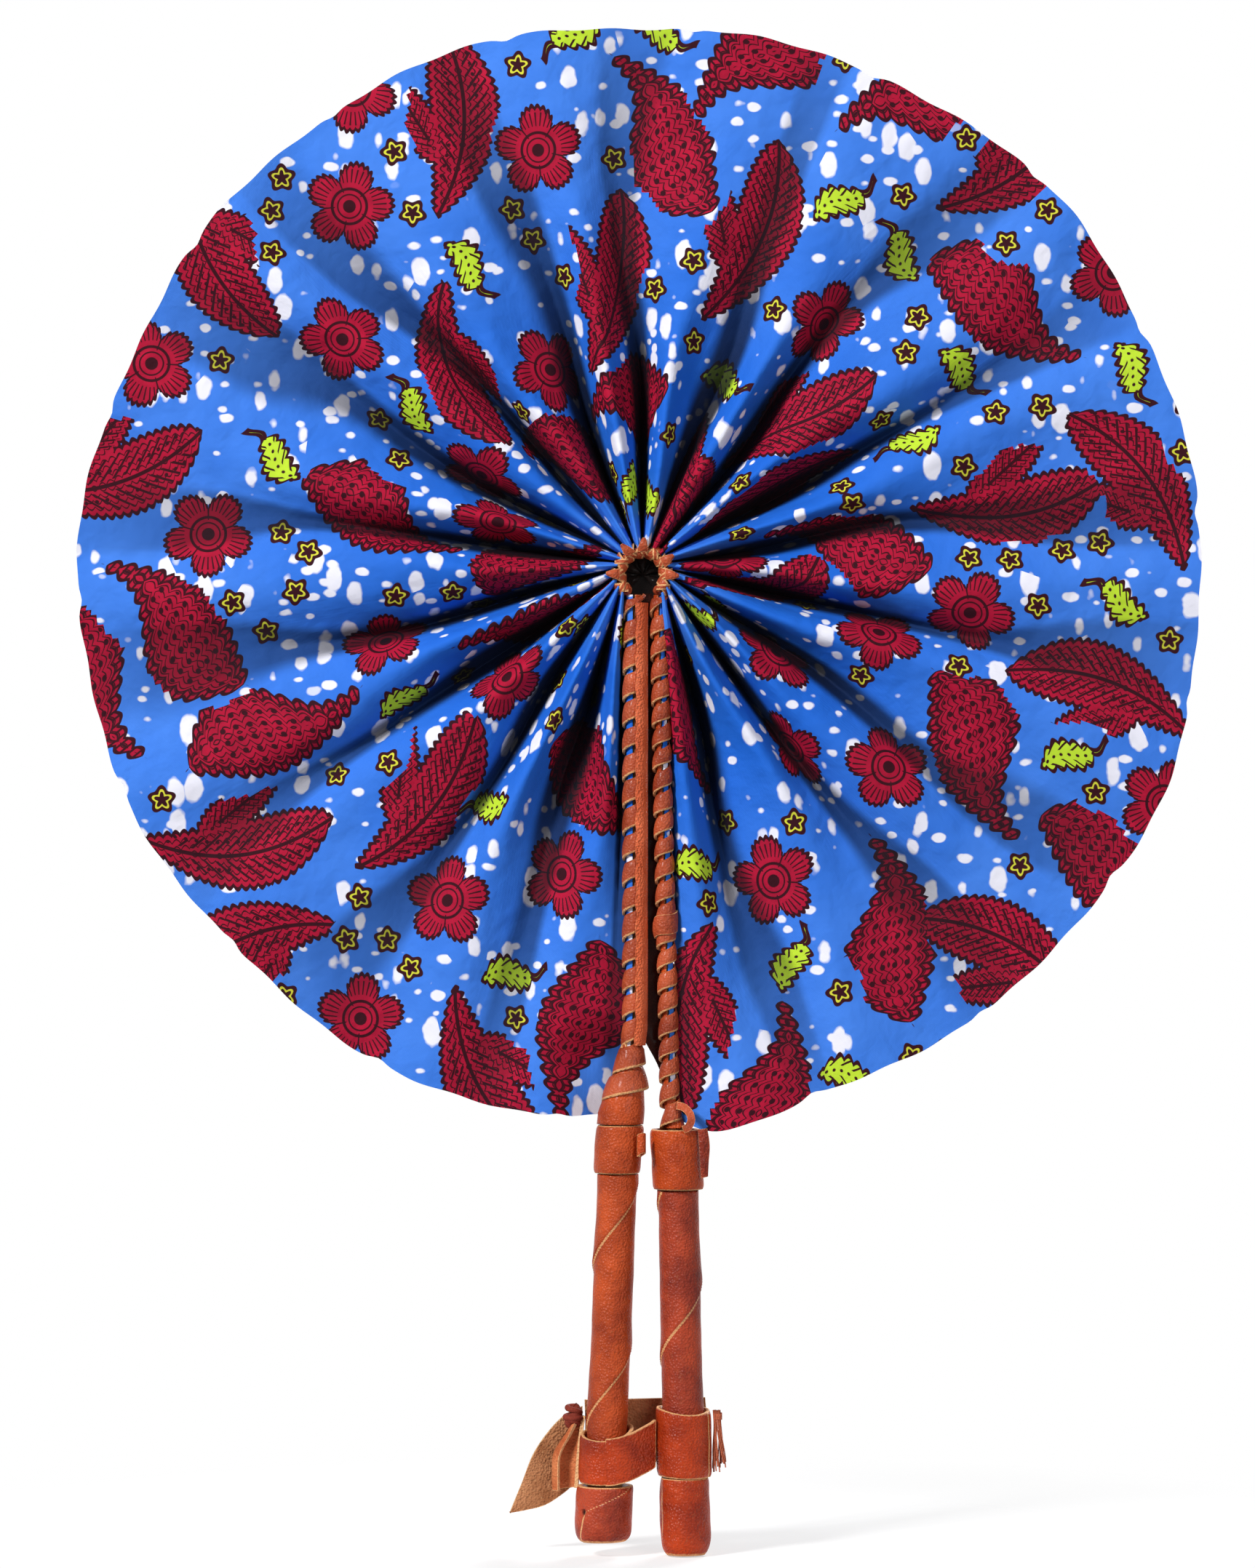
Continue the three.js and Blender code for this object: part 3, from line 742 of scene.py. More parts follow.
def make_leaf(motifs):
    leaf = whole_leaf()
    normal = normals_of(leaf.surface)
    for index in range(SEGMENTS):
        first = SEAM_COLUMNS * (index > 0) + index * LEAF_COLUMNS
        last = SEAM_COLUMNS * (1 + (index == SEGMENTS - 1)) + (index + 1) * LEAF_COLUMNS + 1
        part = slice(first, last)
        cloth, fold, r = leaf.surface[part], leaf.fold[part], leaf.r[part]
        points, faces, _ = slab(cloth, CLOTH, normal[part])
        # Painted shadow in the valleys of the folds, seen from either face of the cloth.
        shades = every_layer(crease_shade(fold, r), r.shape)
        shades[:r.size] = crease_shade(1 - fold, r).ravel()
        faces = outward(points, faces)
        motif = motif_layer(leaf, part, faces, motifs).reshape(-1, 3)
        piece = add_piece(f"leaf_{index + 1}", points, faces, COTTON, f"fold_{index + 1}",
                          [f"leaf_fold_{index + 1}"], "waxed_cotton",
                          motif=motif, shade=shades, cloth=every_layer(cloth, r.shape))
        fold_leaf(piece, index)


# Lacing ring
RING_MIDDLE = (RING_IN + RING_OUT) / 2
RING_STEP = (RING_LAST - RING_FIRST) / SEGMENTS
# How far each of the thong's pointed ends leans sideways, by ring segment.
TABS = {1: 0.1, 3: -0.4, 4: 0.2, 6: -0.1, 7: 0.2}


def make_ring():
    turn = circle(36)
    for index in range(SEGMENTS):
        middle = radians(ring_angle((index + 0.5) / SEGMENTS))
        out, side = np.array([-sin(middle), 0, -cos(middle)]), np.array([-cos(middle), 0, sin(middle)])
        loops, edge = [], []
        for s in np.linspace(-1, 1, 11):
            swell = 1 - 0.08 * s ** 4
            lean = (RING_OUT - RING_IN) / 2 * swell * np.cos(turn)
            radial, depth = RING_MIDDLE + lean, RING_DEPTH * swell * np.sin(turn)
            shift = s * np.minimum(1.3, 0.25 * radial) + 0.3 * np.sin(turn) + RING_SLANT * lean
            loops.append(np.outer(radial, out) + np.outer(depth, BACK) + np.outer(shift, side) + HUB)
            edge.append(np.full(len(turn), max(0.0, abs(s) - 0.36) * 2.3))
        ends = (index, SEGMENTS) if index == SEGMENTS - 1 else (index,)
        knots = [knuckle(RING_FIRST + RING_STEP * end) for end in ends]
        *crossed, pale = crossing(out, side, index)
        points, faces = joined([skin(loops), crossed, *knots])
        add_piece(f"ring_wrap_{index + 1}", points, faces, THONG, f"fold_{index + 1}",
                  [f"hub_lacing_{index + 1}"], "thong", edge=[*edge, pale])
        add_shadow_behind_ring(index, out, side)
        if index in TABS:
            add_tab(index, out, side)


def crossing(out, side, index):
    """A narrow turn of thong that crosses a bead's front from the hole to the outer edge."""
    widths = np.array([-1, -0.75, -0.45, -0.38, 0, 0.38, 0.45, 0.75, 1])
    grid = []
    for t in np.linspace(-1, 1, 13):
        lift = -RING_DEPTH * sqrt(1 - 0.9 * t * t) - 0.25
        middle = -0.95 * t + 0.25 * (index % 3 - 1)
        points = out * (RING_MIDDLE + 1.35 * t) + np.outer(middle + 0.7 * widths, side)
        grid.append(points + np.outer(0.22 * widths ** 2 + lift, BACK) + HUB)
    points, faces, edge = slab(grid, 0.4)
    pale = np.tile(np.abs(widths) > 0.4, 2 * len(grid))
    edge[:len(pale)] = pale
    return points, faces, edge


def add_shadow_behind_ring(index, out, side):
    """A near-black sheet behind the ring's hole: painted shadow that stands in for the folded cloth in shade
    there.
    """
    deep, reach = 2.7 + 0.8 * (index % 2), 4.8
    corners = (-1, deep), (1, deep), (1, deep + 0.6), (-1, deep + 0.6)
    points, faces = skin([[out * radial + side * w * 0.3 * radial + BACK * y + HUB for w, y in corners]
                          for radial in (0.1, reach / 2, reach)])
    shadow_piece = add_piece(f"ring_shadow_{index + 1}", points, faces, THONG, f"fold_{index + 1}", (), "thong",
                      dark=1)
    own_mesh(shadow_piece)


def knuckle(angle):
    """A small round turn of thong on one of the ring's hinge points."""
    x, z = bearing(angle, RING_PIVOT)
    turn, loops = circle(20), []
    for t in np.linspace(-1, 1, 9):
        radius, depth = 1.3 * sqrt(max(1 - (t * 0.97) ** 4, 0.02)), 2.45 * t
        loops.append([(x + radius * cos(a), depth, z + radius * sin(a)) for a in turn])
    return skin(loops)


def add_tab(index, out, side):
    """A pointed thong end that overlaps the folds outside the ring."""
    s = np.linspace(-1, 1, 9)[:, None]
    grid = []
    for t in np.linspace(0, 1, 12):
        lift = -3.15 - 0.75 * sin(pi * t * 0.9) + 0.35 * s * s
        aside = s * (1.25 - 1.1 * t ** 1.6) + TABS[index] * t * 2
        grid.append(out * (5.7 + 3.2 * t) + side * aside + BACK * lift + HUB)
    add_sheet(f"ring_tab_{index + 1}", grid, 0.55, THONG, f"fold_{index + 1}", (), "thong", pale=0.8)


# Sticks
def ripple(turn, z, seed):
    """Small hand-made unevenness round and along a stick."""
    return (0.5 * np.sin(2 * turn + z * 0.21 + seed) + 0.3 * np.sin(3 * turn - z * 0.37 + 2 * seed)
            + 0.2 * np.sin(5 * turn + z * 0.9 + 3 * seed))


def middle_of(stick, z):
    return float(along(stick.axis, z))


def upper_radius(stick, z):
    return float(along(stick.upper, z))


def ring_points(stick, z, radius, turn):
    x = middle_of(stick, z) + radius * np.cos(turn)
    return np.stack([x, radius * np.sin(turn), 0 * turn + HUB_Z + z], -1)


def shell(stick, heights, outer, wall, turn):
    """Points and faces of a tube round a stick, whose outer radius is a function of turn and height."""
    loops = [ring_points(stick, z, outer(turn, z), turn) for z in heights]
    loops += [ring_points(stick, z, np.min(outer(turn, z)) - wall, turn) for z in heights[::-1]]
    return skin(loops, closed=True)


def add_covering(stick, kind, node, shape, material, **layers):
    """A stick's leather piece of some kind, which stands for the node that starts with the same side."""
    side = stick.label
    add_piece(f"{side}_{kind}", *shape, material, f"{side}_stick", [f"{side}_{node}"], f"leather_{side}",
              **layers)


def past(turn, at):
    """The share of a full turn from an angle on."""
    return ((turn - at) / tau) % 1


def overlap(w, height, fall):
    """The raised end of a leather wrap beside its seam, from the share of a turn past the seam."""
    return height * np.exp(-w / fall) * smooth(0, 0.02, w)


def lap(turn, z, stick):
    """How far round its spiral step a place is, in millimetres from the raw edge."""
    return ((z + stick.wrap_from) / stick.wrap_pitch - turn / tau) % 1 * stick.wrap_pitch


def lap_layer(far):
    """The lap layer from distances in millimetres to the nearest seam."""
    return np.clip(1 - np.asarray(far) / 3, 0, 1)


def seam_distance(turn, at, radius):
    """Distance round a stick from a seam at an angle, in millimetres."""
    return np.abs((turn - at + pi) % tau - pi) * radius


def rim_edge(z, top, end, width=0.3):
    return max(exp(-((top - z) / width) ** 2), exp(-((z - end) / width) ** 2))


def add_grip(stick, material):
    pitch, radius, turn = stick.wrap_pitch, stick.grip, circle(96)
    heights = np.arange(stick.collar[1] - 0.3, stick.cap[0] + 0.3, -0.6)

    def outer(turn, z):
        w = lap(turn, z, stick)
        step = 0.55 * np.exp(-w / 6.0) * smooth(0, 0.7, w) + 0.12 * smooth(pitch - 1.2, pitch, w)
        return radius - 0.5 + step + 0.1 * ripple(turn, z, 1.0 + radius)

    steps = [lap(turn, z, stick) for z in heights]
    add_covering(stick, "grip_leather", "grip_wrap", shell(stick, heights, outer, 0.35, turn), material,
                 lap=[lap_layer(np.minimum(w, pitch - w) * 0.65) for w in steps])


def add_collar(stick, material):
    top, end = stick.collar
    heights, turn = np.linspace(top, end, 30), circle(96)
    seam_at = radians(70)

    def outer(turn, z):
        round_off = 0.5 * np.exp(-(top - z) / 0.5) + 0.35 * np.exp(-(z - end) / 0.5)
        w = ((turn - seam_at) / tau - 0.03 * sin(z * 0.3)) % 1
        return stick.collar_radius - 0.45 - round_off + overlap(w, 0.5, 0.22) + 0.2 * ripple(turn, z, 4.0)

    add_covering(stick, "collar_leather", "collar", shell(stick, heights, outer, 0.9, turn), material,
                 edge=[np.full(len(turn), rim_edge(z, top, end)) for z in heights],
                 lap=[lap_layer(seam_distance(turn, seam_at + 0.19 * sin(z * 0.3), 6)) for z in heights])


def add_cap(stick, material):
    top, end = stick.cap
    radius, span, core = stick.cap_radius, top - end, stick.grip - 0.8
    turn, shares, on_left = circle(96), np.linspace(0, 1, 40), stick.side < 0
    seam_path = [(0.0, 338), (-0.45, 226), (-1.0, 214)] if on_left else [(0.0, 205)]
    loops, edge, dark, seam = [], [], [], []
    for t, at in zip(shares, np.radians(along(seam_path, -shares))):
        z = top - span * t
        profile = radius - 0.35 * exp(-t / 0.04) - 1.4 * exp(-(1 - t) / 0.08)
        round_hole = (seam_distance(turn, radians(221), radius) / 0.9) ** 2
        hole = np.exp(-round_hole - ((t - 0.45) * span / 1.1) ** 2) * on_left
        flap = overlap(past(turn, at), 0.5, 0.3)
        outer = profile - 0.4 + flap + 0.25 * ripple(turn, z, 7.0) - 0.7 * hole
        loops.append(ring_points(stick, z, outer, turn))
        rim = max(exp(-(t * span / 0.35) ** 2), 0.85 * exp(-((1 - t) * span) ** 2))
        edge.append(np.maximum(rim, 1.1 * hole * (hole < 0.5)))
        # Painted shadow inside the hole, on top of its pressed-in shape.
        dark.append(np.clip(hole * 2.4 - 1, 0, 1))
        seam.append(lap_layer(seam_distance(turn, at, radius) * 0.8))
    foot, inside = end + 0.15, end + 2.0
    for z, inner in [(foot, radius - 3.2), (foot, 0.2), (inside, 0.2), (inside, core), (top, core)]:
        loops.append(ring_points(stick, z, inner, turn))
    edge.append(np.full(2 * len(turn), 0.5))
    shape = skin(loops, closed=True)
    add_covering(stick, "cap_leather", "end_cap", shape, material, edge=edge, dark=dark, lap=seam)


def core_radius(stick, z):
    slim = along(stick.upper, z) - 2 * LEATHER - 2 * FIT
    share = smooth(*stick.flare[::-1], z)
    straight = np.clip((stick.flare[0] - z) / (stick.flare[0] - stick.flare[1]), 0, 1)
    return float(slim + (stick.grip - 1.1 - slim) * (0.3 * (1 - share) + 0.7 * straight))


def add_throat(stick, material):
    """The leather between the lacing and the collar, with a torn top edge."""
    turn, shares = circle(72), np.linspace(0, 1, 34)
    top, end = stick.neck + 0.6, stick.collar[0] + 0.3
    torn = 1.3 * np.sin(2 * turn + 1) + 0.8 * np.sin(5 * turn) + 0.45 * np.sin(11 * turn + 2)
    loops, edge = [], []
    for wall, uneven, way in ((stick.throat_leather, 0.16, 1), (0, 0, -1)):
        for t in shares[::way]:
            z = top + (end - top) * t
            radius = core_radius(stick, z) + FIT + wall + uneven * ripple(turn, z, 5)
            loop = ring_points(stick, z, radius, turn)
            loop[:, 2] += torn * (1 - t) ** 2 * (stick.side < 0)
            loops.append(loop)
            edge.append(np.full(len(turn), exp(-(t * (top - end) / 0.5) ** 2)))
    add_covering(stick, "throat_leather", "throat", skin(loops, closed=True), material, edge=edge)


def half_tube(stick, first, last):
    """A thin strip down the upper stick between two angles round it."""
    turn = np.radians(np.linspace(first, last, 25))
    grid = []
    for z in np.linspace(-5.0, stick.neck + 1, 60):
        reach = upper_radius(stick, z) - LEATHER - FIT - 0.3
        grid.append(ring_points(stick, z, reach + 0.05 * ripple(turn, z, 2.0), turn))
    return slab(grid, 0.5)


def add_sleeve(stick):
    """The stick's covering under the lacing: leather on the inner side, the leaf's bound end on the outer."""
    halves = half_tube(stick, -80, 80), half_tube(stick, 100, 260)
    (*sleeve, edge), (points, faces, _) = halves if stick.side < 0 else halves[::-1]
    unprinted = np.full((sum(len(f) for f in faces), 3), (0, 0, NO_MOTIF))
    add_piece(f"{stick.label}_hem", points, faces, COTTON, f"{stick.label}_stick",
              [f"{stick.label}_leaf_hem"], "waxed_cotton", cloth=points, motif=unprinted)
    add_covering(stick, "sleeve", "stick_sleeve", sleeve, LEATHER_SLEEVE, edge=edge * 0.6)


def add_gap_shadow():
    """A near-black sheet behind the left stick that closes the gap between the sticks: painted shadow for the
    shade in that gap.
    """
    grid, s = [], np.linspace(0, 1, 9)
    for z in np.linspace(-4.6, -128, 90):
        wide = smooth(-13, -6, z)
        left = middle_of(LEFT, z) - 2.6 * wide
        right = middle_of(RIGHT, z) - 0.6 + 1.1 * wide
        left += (right - left - 1) * float(smooth(107, 126, -z))
        depth = 3.7 + 0.6 * s + 0.12 * np.sin(z * 0.4 + 3 * s)
        grid.append(np.stack([left + (right - left) * s, depth, 0 * s + HUB_Z + z], -1))
    points, faces, _ = slab(grid, CLOTH)
    shadow_strip = add_piece("left_gap_shadow", points, faces, LEATHER_SLEEVE, "left_stick", (), "leather_left",
                        dark=0.92)
    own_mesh(shadow_strip)


def add_shadow_in_gap():
    """A near-black sheet across the ring's open foot: painted shadow where only shade shows through."""
    grid = []
    for z in np.linspace(0.8, -5.4, 9):
        half = min(1 + 0.5 * (0.8 - z), 3.4)
        grid.append([(half * s, 4.2, HUB_Z + z) for s in np.linspace(-1, 1, 9)])
    points, faces, _ = slab(grid, CLOTH)
    shadow_piece = add_piece("ring_shadow_gap", points, faces, THONG, "left_stick", (), "thong", dark=1)
    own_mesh(shadow_piece)


def add_lacing(stick):
    """One long thong wound round the upper stick: each turn is domed and laps over the next."""
    pitch = stick.pitch
    start, end = -5.2, stick.lacing_end
    turns = (start - end) / pitch
    steps = int(turns * 32)
    width, thick = pitch * 0.92, LEATHER + 0.2
    profile = [(s, thick * (0.86 - 0.4 * s * s - 0.3 * s)) for s in np.linspace(-1, 1, 11)]
    profile += [(s, 0.0) for s in np.linspace(0.97, -0.97, 5)]
    pale = [max(0.0, -s - 0.6) * 3.2 + max(0.0, s - 0.88) * 5 for s, _ in profile]
    loops = []
    for k in range(steps + 1):
        t = k / steps
        z = start + (end - start) * t
        angle = -tau * turns * t
        lean = 0.35 * sin(angle * 0.5 + 1) + 0.25 * sin(angle * 0.37)
        taper = 0.15 + 0.85 * float(smooth(0, 0.7, turns * t))
        grow = 1 + 0.08 * sin(angle * 0.21 + stick.side) - 0.1 * sin(angle) ** 2
        loop = []
        for s, out in profile:
            shift = s * width / 2 * grow * taper
            inner = upper_radius(stick, z) - LEATHER + 0.1
            if z + shift < stick.neck + 1:
                inner = max(inner, core_radius(stick, z + shift) + FIT + stick.throat_leather + 0.1)
            spin = angle + shift * pitch / (tau * inner * inner) * 0.35
            loop.append((middle_of(stick, z) + (inner + out) * cos(spin), (inner + out) * sin(spin),
                         HUB_Z + z + shift + lean * 0.4))
        loops.append(loop)
    points, faces = skin(loops)
    add_piece(f"{stick.label}_thong", points, faces, THONG, f"{stick.label}_stick", [f"{stick.label}_lacing"],
              "thong", edge=pale * len(loops))


def add_splice():
    """The turn where a second length of thong is tied in on the right stick."""
    turn = np.radians(np.linspace(150, 395, 40))
    grid = []
    for s in np.linspace(-1, 1, 13):
        swell = 2.64 + 0.45 * (1 - s * s) * (0.55 - 0.45 * np.cos(turn + 0.4)) + 0.06 * np.sin(3 * turn + s)
        ring = ring_points(RIGHT, -86.5 + s * 2.4, swell, turn)
        ring[:, 2] += 0.9 * np.cos(turn) + 0.4 * np.sin(2 * turn)
        grid.append(ring)
    add_sheet("right_thong_splice", grid, 0.55, THONG, "right_stick", (), "thong")


def add_facing():
    """A smooth leather strip over the inner front of the left stick's lacing."""
    grid = []
    for z in np.linspace(-7.0, LEFT.neck + 1.6, 150):
        turn = np.radians(np.linspace(-80 + 4 * sin(z * tau / LEFT.pitch), 12, 16))
        radius = upper_radius(LEFT, z) + FIT + 0.3 + 0.05 * ripple(turn, z, 3.0)
        grid.append(ring_points(LEFT, z, radius, turn))
    add_sheet("left_inner_facing", grid, LEATHER, FACING, "left_stick", ["left_facing"], "leather_left",
              pale=0.55)


def add_band(name, path, lift, width, thickness, *look):
    """A leather strip on edge along a path of (x, y). Lift and width are functions of its length's share."""
    grid = []
    for (x, y), t in zip(path, np.linspace(0, 1, len(path))):
        grid.append([(x, y, HUB_Z + lift(t) + h) for h in np.linspace(0.5, -0.5, 15) * width(t)])
    add_sheet(name, grid, thickness, *look)


def add_patch(name, left, right, depth, thickness, *look, rows=40, columns=24):
    """A flat leather piece between two edges through points (x, z), with its depth as a function of place."""
    left, right = curve_through(left), curve_through(right)
    grid = []
    for t in np.linspace(0, 1, rows):
        (x0, z0), (x1, z1) = left(t), right(t)
        row = [(x0 + (x1 - x0) * s, z0 + (z1 - z0) * s) for s in np.linspace(0, 1, columns)]
        grid.append([(x, depth(x, z), HUB_Z + z) for x, z in row])
    add_sheet(name, grid, thickness, *look)


def add_collar_ends():
    """The curl of thong on the left collar, and the folded tab and the thong's loop on the right one."""
    angles = np.radians(np.linspace(200, 520, 26))
    radius = np.linspace(1.05, 0.55, 26)
    path = np.stack([-0.2 + radius * np.cos(angles), -5.5 + radius * np.sin(angles)], -1)
    add_band("left_collar_end", path, lambda t: -141 + 0.8 * sin(5 * t), lambda t: 5.4 - 1.6 * t, 0.45,
             LEATHER_LEFT, "left_stick", ["left_collar_curl"], "suede")
    add_patch("right_collar_flap", [(13.8, -137.0), (14.1, -141), (14.3, -145), (14.5, -149)],
              [(15.8, -136.8), (16.5, -141), (16.2, -145), (16.0, -148.6)],
              lambda x, z: -4.5 - 0.35 * sin((x - 13.8) * 1.6) + 0.1 * sin(z), 0.7,
              LEATHER_RIGHT, "right_stick", ["right_collar_tab"], "leather_right")
    run = curve_through([(8.6, -3.0, -131.2), (10.2, -3.9, -131.6), (11.6, -4.6, -133.0),
                         (12.0, -5.2, -134.8), (11.2, -5.9, -136.4), (10.0, -6.1, -137.0)])
    path = np.array([run(t) for t in np.linspace(0, 1, 24)])
    forward = np.gradient(path, axis=0)
    across = np.stack([-forward[:, 2], 0 * path[:, 1], forward[:, 0]], -1)
    across /= np.linalg.norm(across, axis=1, keepdims=True)
    grid = path[:, None] + across[:, None] * np.linspace(-0.95, 0.95, 9)[None, :, None] + HUB
    add_sheet("right_thong_end", grid, 0.55, THONG, "right_stick", ["right_thong_loop"], "thong")


# Strap, band and thread
def add_ring_band(name, stick, top, end, radius, lean, dip, node, body):
    """A leather band round a grip, whose seam overlaps. It leans up to the right, and its front dips."""
    turn, seam_at = circle(96), radians(338)
    loops, edge, seam = [], [], []
    for z in [*np.linspace(top, end, 28), *np.linspace(end, top, 8)]:
        inside = len(loops) >= 28
        flap = overlap(past(turn, seam_at), 0.3, 0.2)
        outer = radius - 0.3 * rim_edge(z, top, end, 0.6) + flap - 0.15 + 0.14 * ripple(turn, z, 9.0)
        loop = ring_points(stick, z, stick.grip + 0.3 if inside else outer, turn)
        share = 0.35 + 0.65 * (z - end) / (top - end)
        loop[:, 2] += share * (lean * np.cos(turn) * 0.5 + 0.25 * np.sin(2 * turn + 1) + dip * np.sin(turn))
        loops.append(loop)
        edge.append(np.full(len(turn), rim_edge(z, top, end, 0.4)))
        seam.append(lap_layer(seam_distance(turn, seam_at, radius)) * (not inside))
    add_piece(name, *skin(loops, closed=True), STRAP, body, [node], "strap_leather", edge=edge, lap=seam)


def add_strap():
    add_ring_band("strap_loop_leather", LEFT, -212, -224.1, 6.75, 1.6, 1.5, "strap_noose", "strap")
    arm = curve_through([(-9.0, -5.9), (-6.6, -6.3), (-3.6, -6.0), (-0.4, -4.5), (3.0, -2.4)])
    add_band("strap_arm_leather", [arm(t) for t in np.linspace(0, 1, 30)], lambda t: -219 + 4.4 * t * t,
             lambda t: 11.6, 1.1, STRAP, "strap", ["strap_arm"], "strap_leather")
    add_patch("strap_back_suede", [(-14.4, -205), (-14.2, -211), (-14.3, -217), (-14.2, -222.4)],
              [(15.6, -204.4), (15.9, -209), (15.7, -214), (15.8, -219)],
              lambda x, z: 8.1 + 0.25 * sin(x * 0.35) * sin(z * 0.3), 1.1,
              SUEDE, "strap", ["strap_back_run"], "suede", columns=60)
    add_patch("strap_tail_suede",
              [(-14.9, -206.6), (-19, -208.6), (-23, -212.4), (-27.2, -218.6), (-30.2, -226.2),
               (-32.9, -232.9)],
              [(-14.7, -222.3), (-17.2, -226), (-20.6, -228.9), (-24.4, -231.2), (-28.6, -232.3),
               (-33, -233)],
              lambda x, z: 8.05 + 0.04 * (x + 15) + 0.3 * sin(x * 0.5) * sin(z * 0.25), 1.1,
              SUEDE, "strap", ["strap_tail"], "suede", rows=56)
    add_slit_loop()
    add_knot()
    add_ring_band("right_band_leather", RIGHT, -206.5, -222.9, 6.85, -0.8, 0.5, "right_band", "right_stick")
    add_tuft()


def add_slit_loop():
    """The strap's folded end, through whose slit the tail is drawn."""
    left = curve_through([(-208.6, -15.9), (-212.5, -18.2), (-217.7, -21.5), (-222, -22.0), (-227, -21.9)])
    right = curve_through([(-208.6, -14.6), (-213, -15.2), (-218, -15.7), (-222, -16.0), (-226.4, -16.3)])
    grid, angle = [], np.radians(np.linspace(-20, 235, 30))
    share = 0.5 + 0.5 * np.cos(angle)
    for t in np.linspace(0, 1, 30):
        (z0, x0), (z1, x1) = left(t), right(t)
        depth = 4.2 + 2.3 * np.sin(angle) * (0.5 + 0.5 * t)
        grid.append(np.stack([x0 + (x1 - x0) * share, depth, HUB_Z + z0 + (z1 - z0) * share], -1))
    add_sheet("strap_slit_leather", grid, 0.95, SUEDE_RED, "strap", ["strap_slit_loop"], "strap_leather")


def tube_along(path, radius, sides):
    """Points and faces of a thin round tube along a path."""
    path = np.asarray(path, float)
    forward = np.gradient(path, axis=0)
    forward /= np.linalg.norm(forward, axis=1, keepdims=True)
    first = np.cross(forward, np.array([0.31, 0.83, 0.46]))
    first /= np.linalg.norm(first, axis=1, keepdims=True)
    second = np.cross(forward, first)
    turn = circle(sides)[:, None]
    return skin(path[:, None] + radius * (first[:, None] * np.cos(turn) + second[:, None] * np.sin(turn)))


def add_knot():
    """Thong wound over itself where the strap's tail passes through its slit."""
    turns = np.linspace(0, tau * 3.4, 200)
    share = turns / turns[-1]
    swell = 0.9 + 1.0 * np.sin(pi * share)
    path = np.stack([-17.2 + swell * np.cos(turns), 4.4 + 0.75 * swell * np.sin(turns),
                     HUB_Z - 206.4 - 4.5 * share + 0.5 * np.sin(turns * 0.5)], -1)
    a = np.linspace(0, 6, 20)
    core = np.stack([-17.2 + np.sin(a), 4.4 + 0.5 * np.cos(a), HUB_Z - 206.3 - 4.8 * a / 6], -1)
    points, faces = joined([tube_along(path, 0.75, 12), tube_along(core, 1.2, 12)])
    add_piece("strap_knot_thread", points, faces, THREAD, "strap", ["strap_knot"], "thread")


def add_tuft():
    dice = random.Random(7)
    top, shapes = -206.6, []
    for _ in range(22):
        spread, turn, end = dice.uniform(0.2, 1.5), dice.uniform(0, tau), dice.uniform(-219, -222)
        t = np.linspace(0, 1, 14)
        open_out = 0.35 + smooth(0.15, 1, t) * spread
        x = 18.7 + 0.5 * cos(turn) + 0.9 * t + open_out * np.cos(turn + t) - 0.35
        y = -1 + 0.4 * sin(turn) + 0.6 * open_out * np.sin(turn + t)
        shapes.append(tube_along(np.stack([x, y, HUB_Z + top + (end - top) * t], -1), 0.17, 5))
    wrap = np.linspace(0, tau * 4, 90)
    path = np.stack([18.75 + 0.75 * np.cos(wrap), -1 + 0.6 * np.sin(wrap),
                     HUB_Z - 207.4 - 1.4 * wrap / wrap[-1]], -1)
    shapes.append(tube_along(path, 0.24, 6))
    points, faces = joined(shapes)
    add_piece("right_tuft_thread", points, faces, THREAD_TAN, "right_stick", ["right_thread_tuft"], "thread")


# Camera, light and floor: each lamp's name, place in metres, size and power
LAMPS = [("key", (-0.95, -1.05, 0.95), 0.3, 30.0), ("fill", (0.75, -1.3, 0.5), 0.7, 8.0),
         ("back", (0.6, 1.35, 0.9), 0.7, 26.0)]
LAMP_AIM = 0, 0, 0.16
SENSOR = 36.0


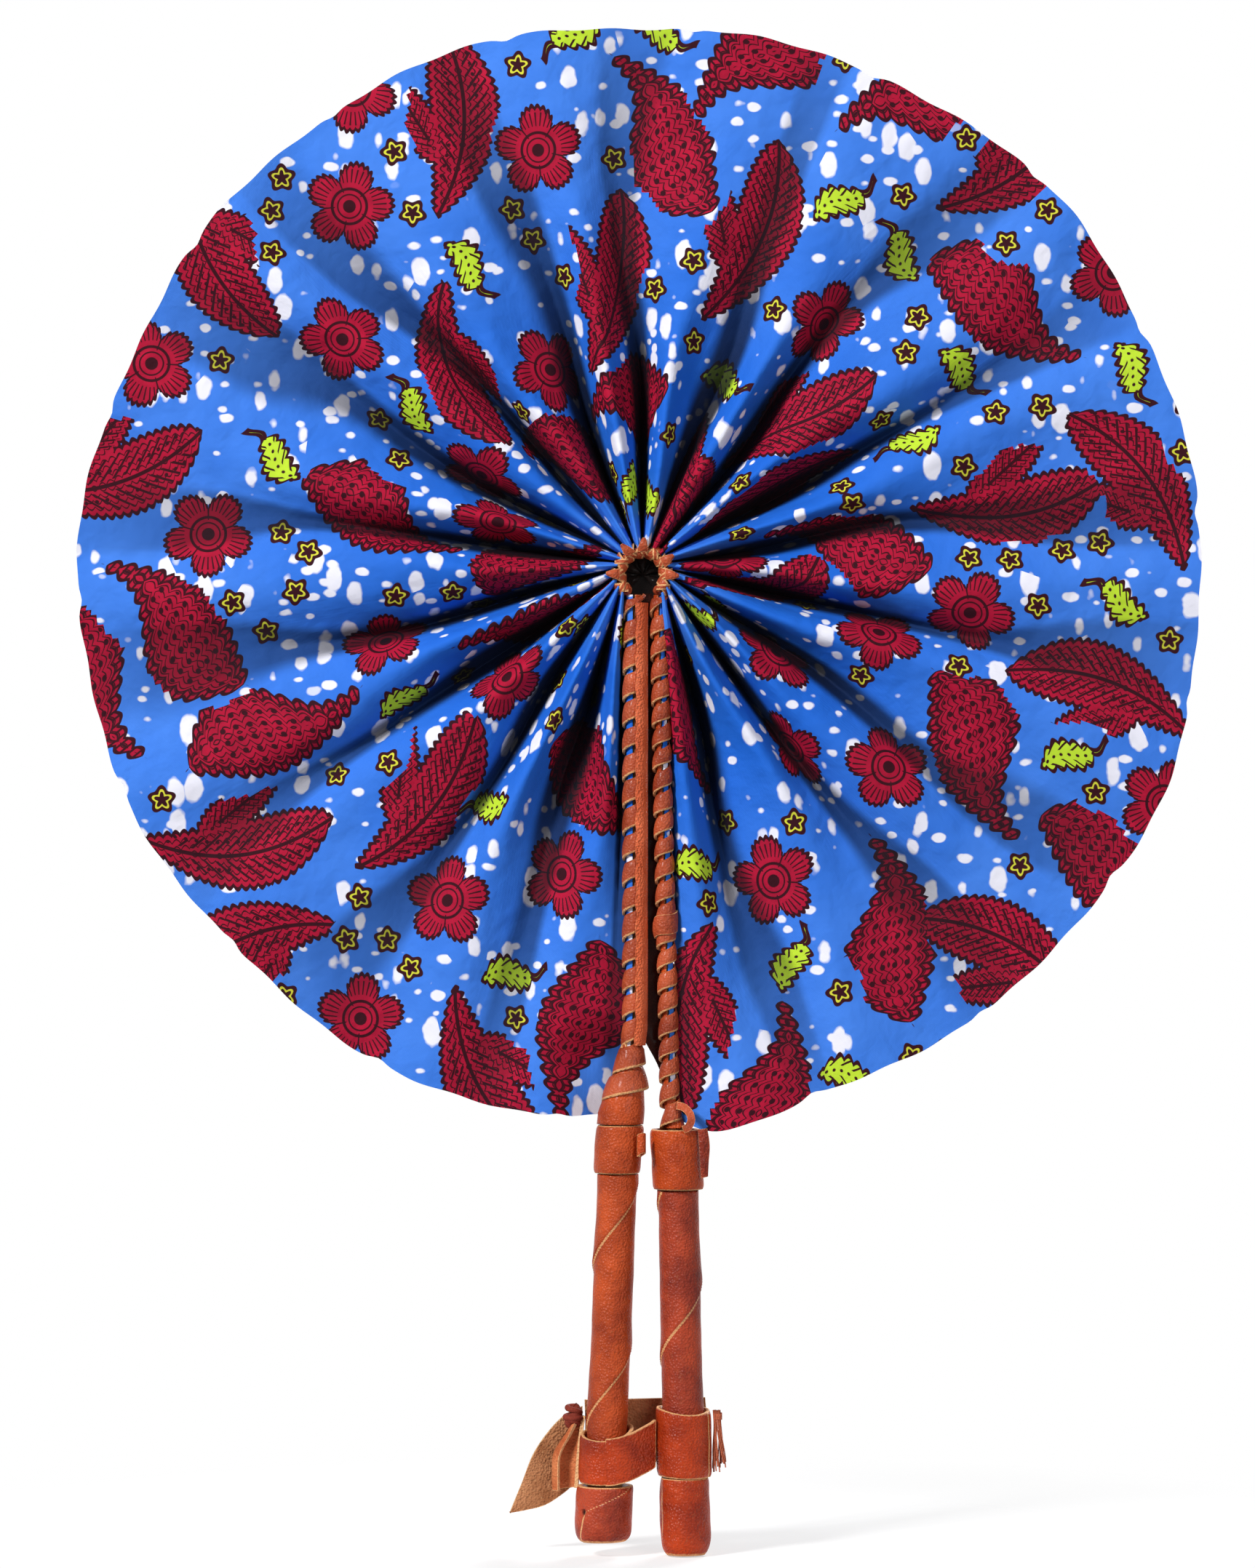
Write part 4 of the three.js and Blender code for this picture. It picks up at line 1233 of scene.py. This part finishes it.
def make_stage():
    scene = bpy.context.scene
    scene.view_settings.view_transform = "Standard"
    camera = linked("camera", bpy.data.cameras.new("camera"))
    lens, frame_height = 135.0, 388.0
    camera.data.lens = lens
    camera.data.sensor_width = SENSOR
    camera.location = (-3.7 * MM, -frame_height / SENSOR * lens * MM, (HUB_Z - 51.8) * MM)
    camera.rotation_euler = (pi / 2, 0, 0)
    scene.camera = camera
    scene.world = bpy.data.worlds.new("studio")
    scene.world.use_nodes = True
    tree = scene.world.node_tree
    rays = put(tree, "LightPath")
    camera_ray, glossy_ray, clear_ray = [Term(rays.outputs[f"Is {kind} Ray"])
                                         for kind in ("Camera", "Glossy", "Transmission")]
    seen = camera_ray.most(glossy_ray).most(clear_ray)
    fill(tree.nodes["Background"], {"Color": mixed(seen, (0.09, 0.09, 0.1, 1), (1, 1, 1, 1))})
    for name, spot, size, power in LAMPS:
        lamp = bpy.data.lights.new(name, "AREA")
        lamp.size = size
        lamp.energy = power
        light = linked(name, lamp)
        light.location = spot
        x, y, z = np.subtract(spot, LAMP_AIM)
        light.rotation_euler = (atan2(hypot(x, y), z), 0, atan2(y, x) + pi / 2)
    add_floor()


def add_floor():
    """A small pale floor whose rim fades into the white background."""
    level, reach, sides = cad_box[0][2] - 0.0004, 0.24, 96
    turn = circle(sides)
    points = np.stack([reach * np.cos(turn), reach * np.sin(turn), np.full(sides, level)], -1)
    mesh = bpy.data.meshes.new("floor")
    mesh.from_pydata(points.tolist(), [], [tuple(range(sides))])
    floor = linked("floor", mesh)
    material, tree, shader = new_material("floor_paper", 0.9, 0.0, (0.96, 0.96, 0.96, 1))
    fill(shader, {"Base Color": (0.97, 0.97, 0.97, 1)})
    x, y, _ = parts_of(object_place(tree))
    keep = ((reach - 0.02 - distance(x, y)) / 0.2).held()
    seen = Term(put(tree, "LightPath").outputs["Is Camera Ray"])
    glow, clear = put(tree, "Emission").outputs[0], put(tree, "BsdfTransparent").outputs[0]
    paper = put(tree, "MixShader", {0: seen * 0.55, 1: shader.outputs[0], 2: glow}).outputs[0]
    faded = put(tree, "MixShader", {0: keep, 1: clear, 2: paper}).outputs[0]
    fill(tree.nodes["Material Output"], {"Surface": faded})
    mesh.materials.append(material)


def dress_wood():
    for stick in (LEFT, RIGHT):
        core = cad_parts[f"{stick.label}_stick_core"]
        core.data.materials.clear()
        core.data.materials.append(WOOD)


make_stage()
make_leaf(layout())
make_ring()
for stick, grip, collar, cap in ((LEFT, LEATHER_LEFT, LEATHER_LEFT, LEATHER_RIGHT),
                                 (RIGHT, LEATHER_RIGHT, LEATHER_SLEEVE, STRAP)):
    add_sleeve(stick)
    add_lacing(stick)
    add_throat(stick, collar)
    add_grip(stick, grip)
    add_collar(stick, collar)
    add_cap(stick, cap)
add_gap_shadow()
add_shadow_in_gap()
add_splice()
add_facing()
add_collar_ends()
add_strap()
dress_wood()
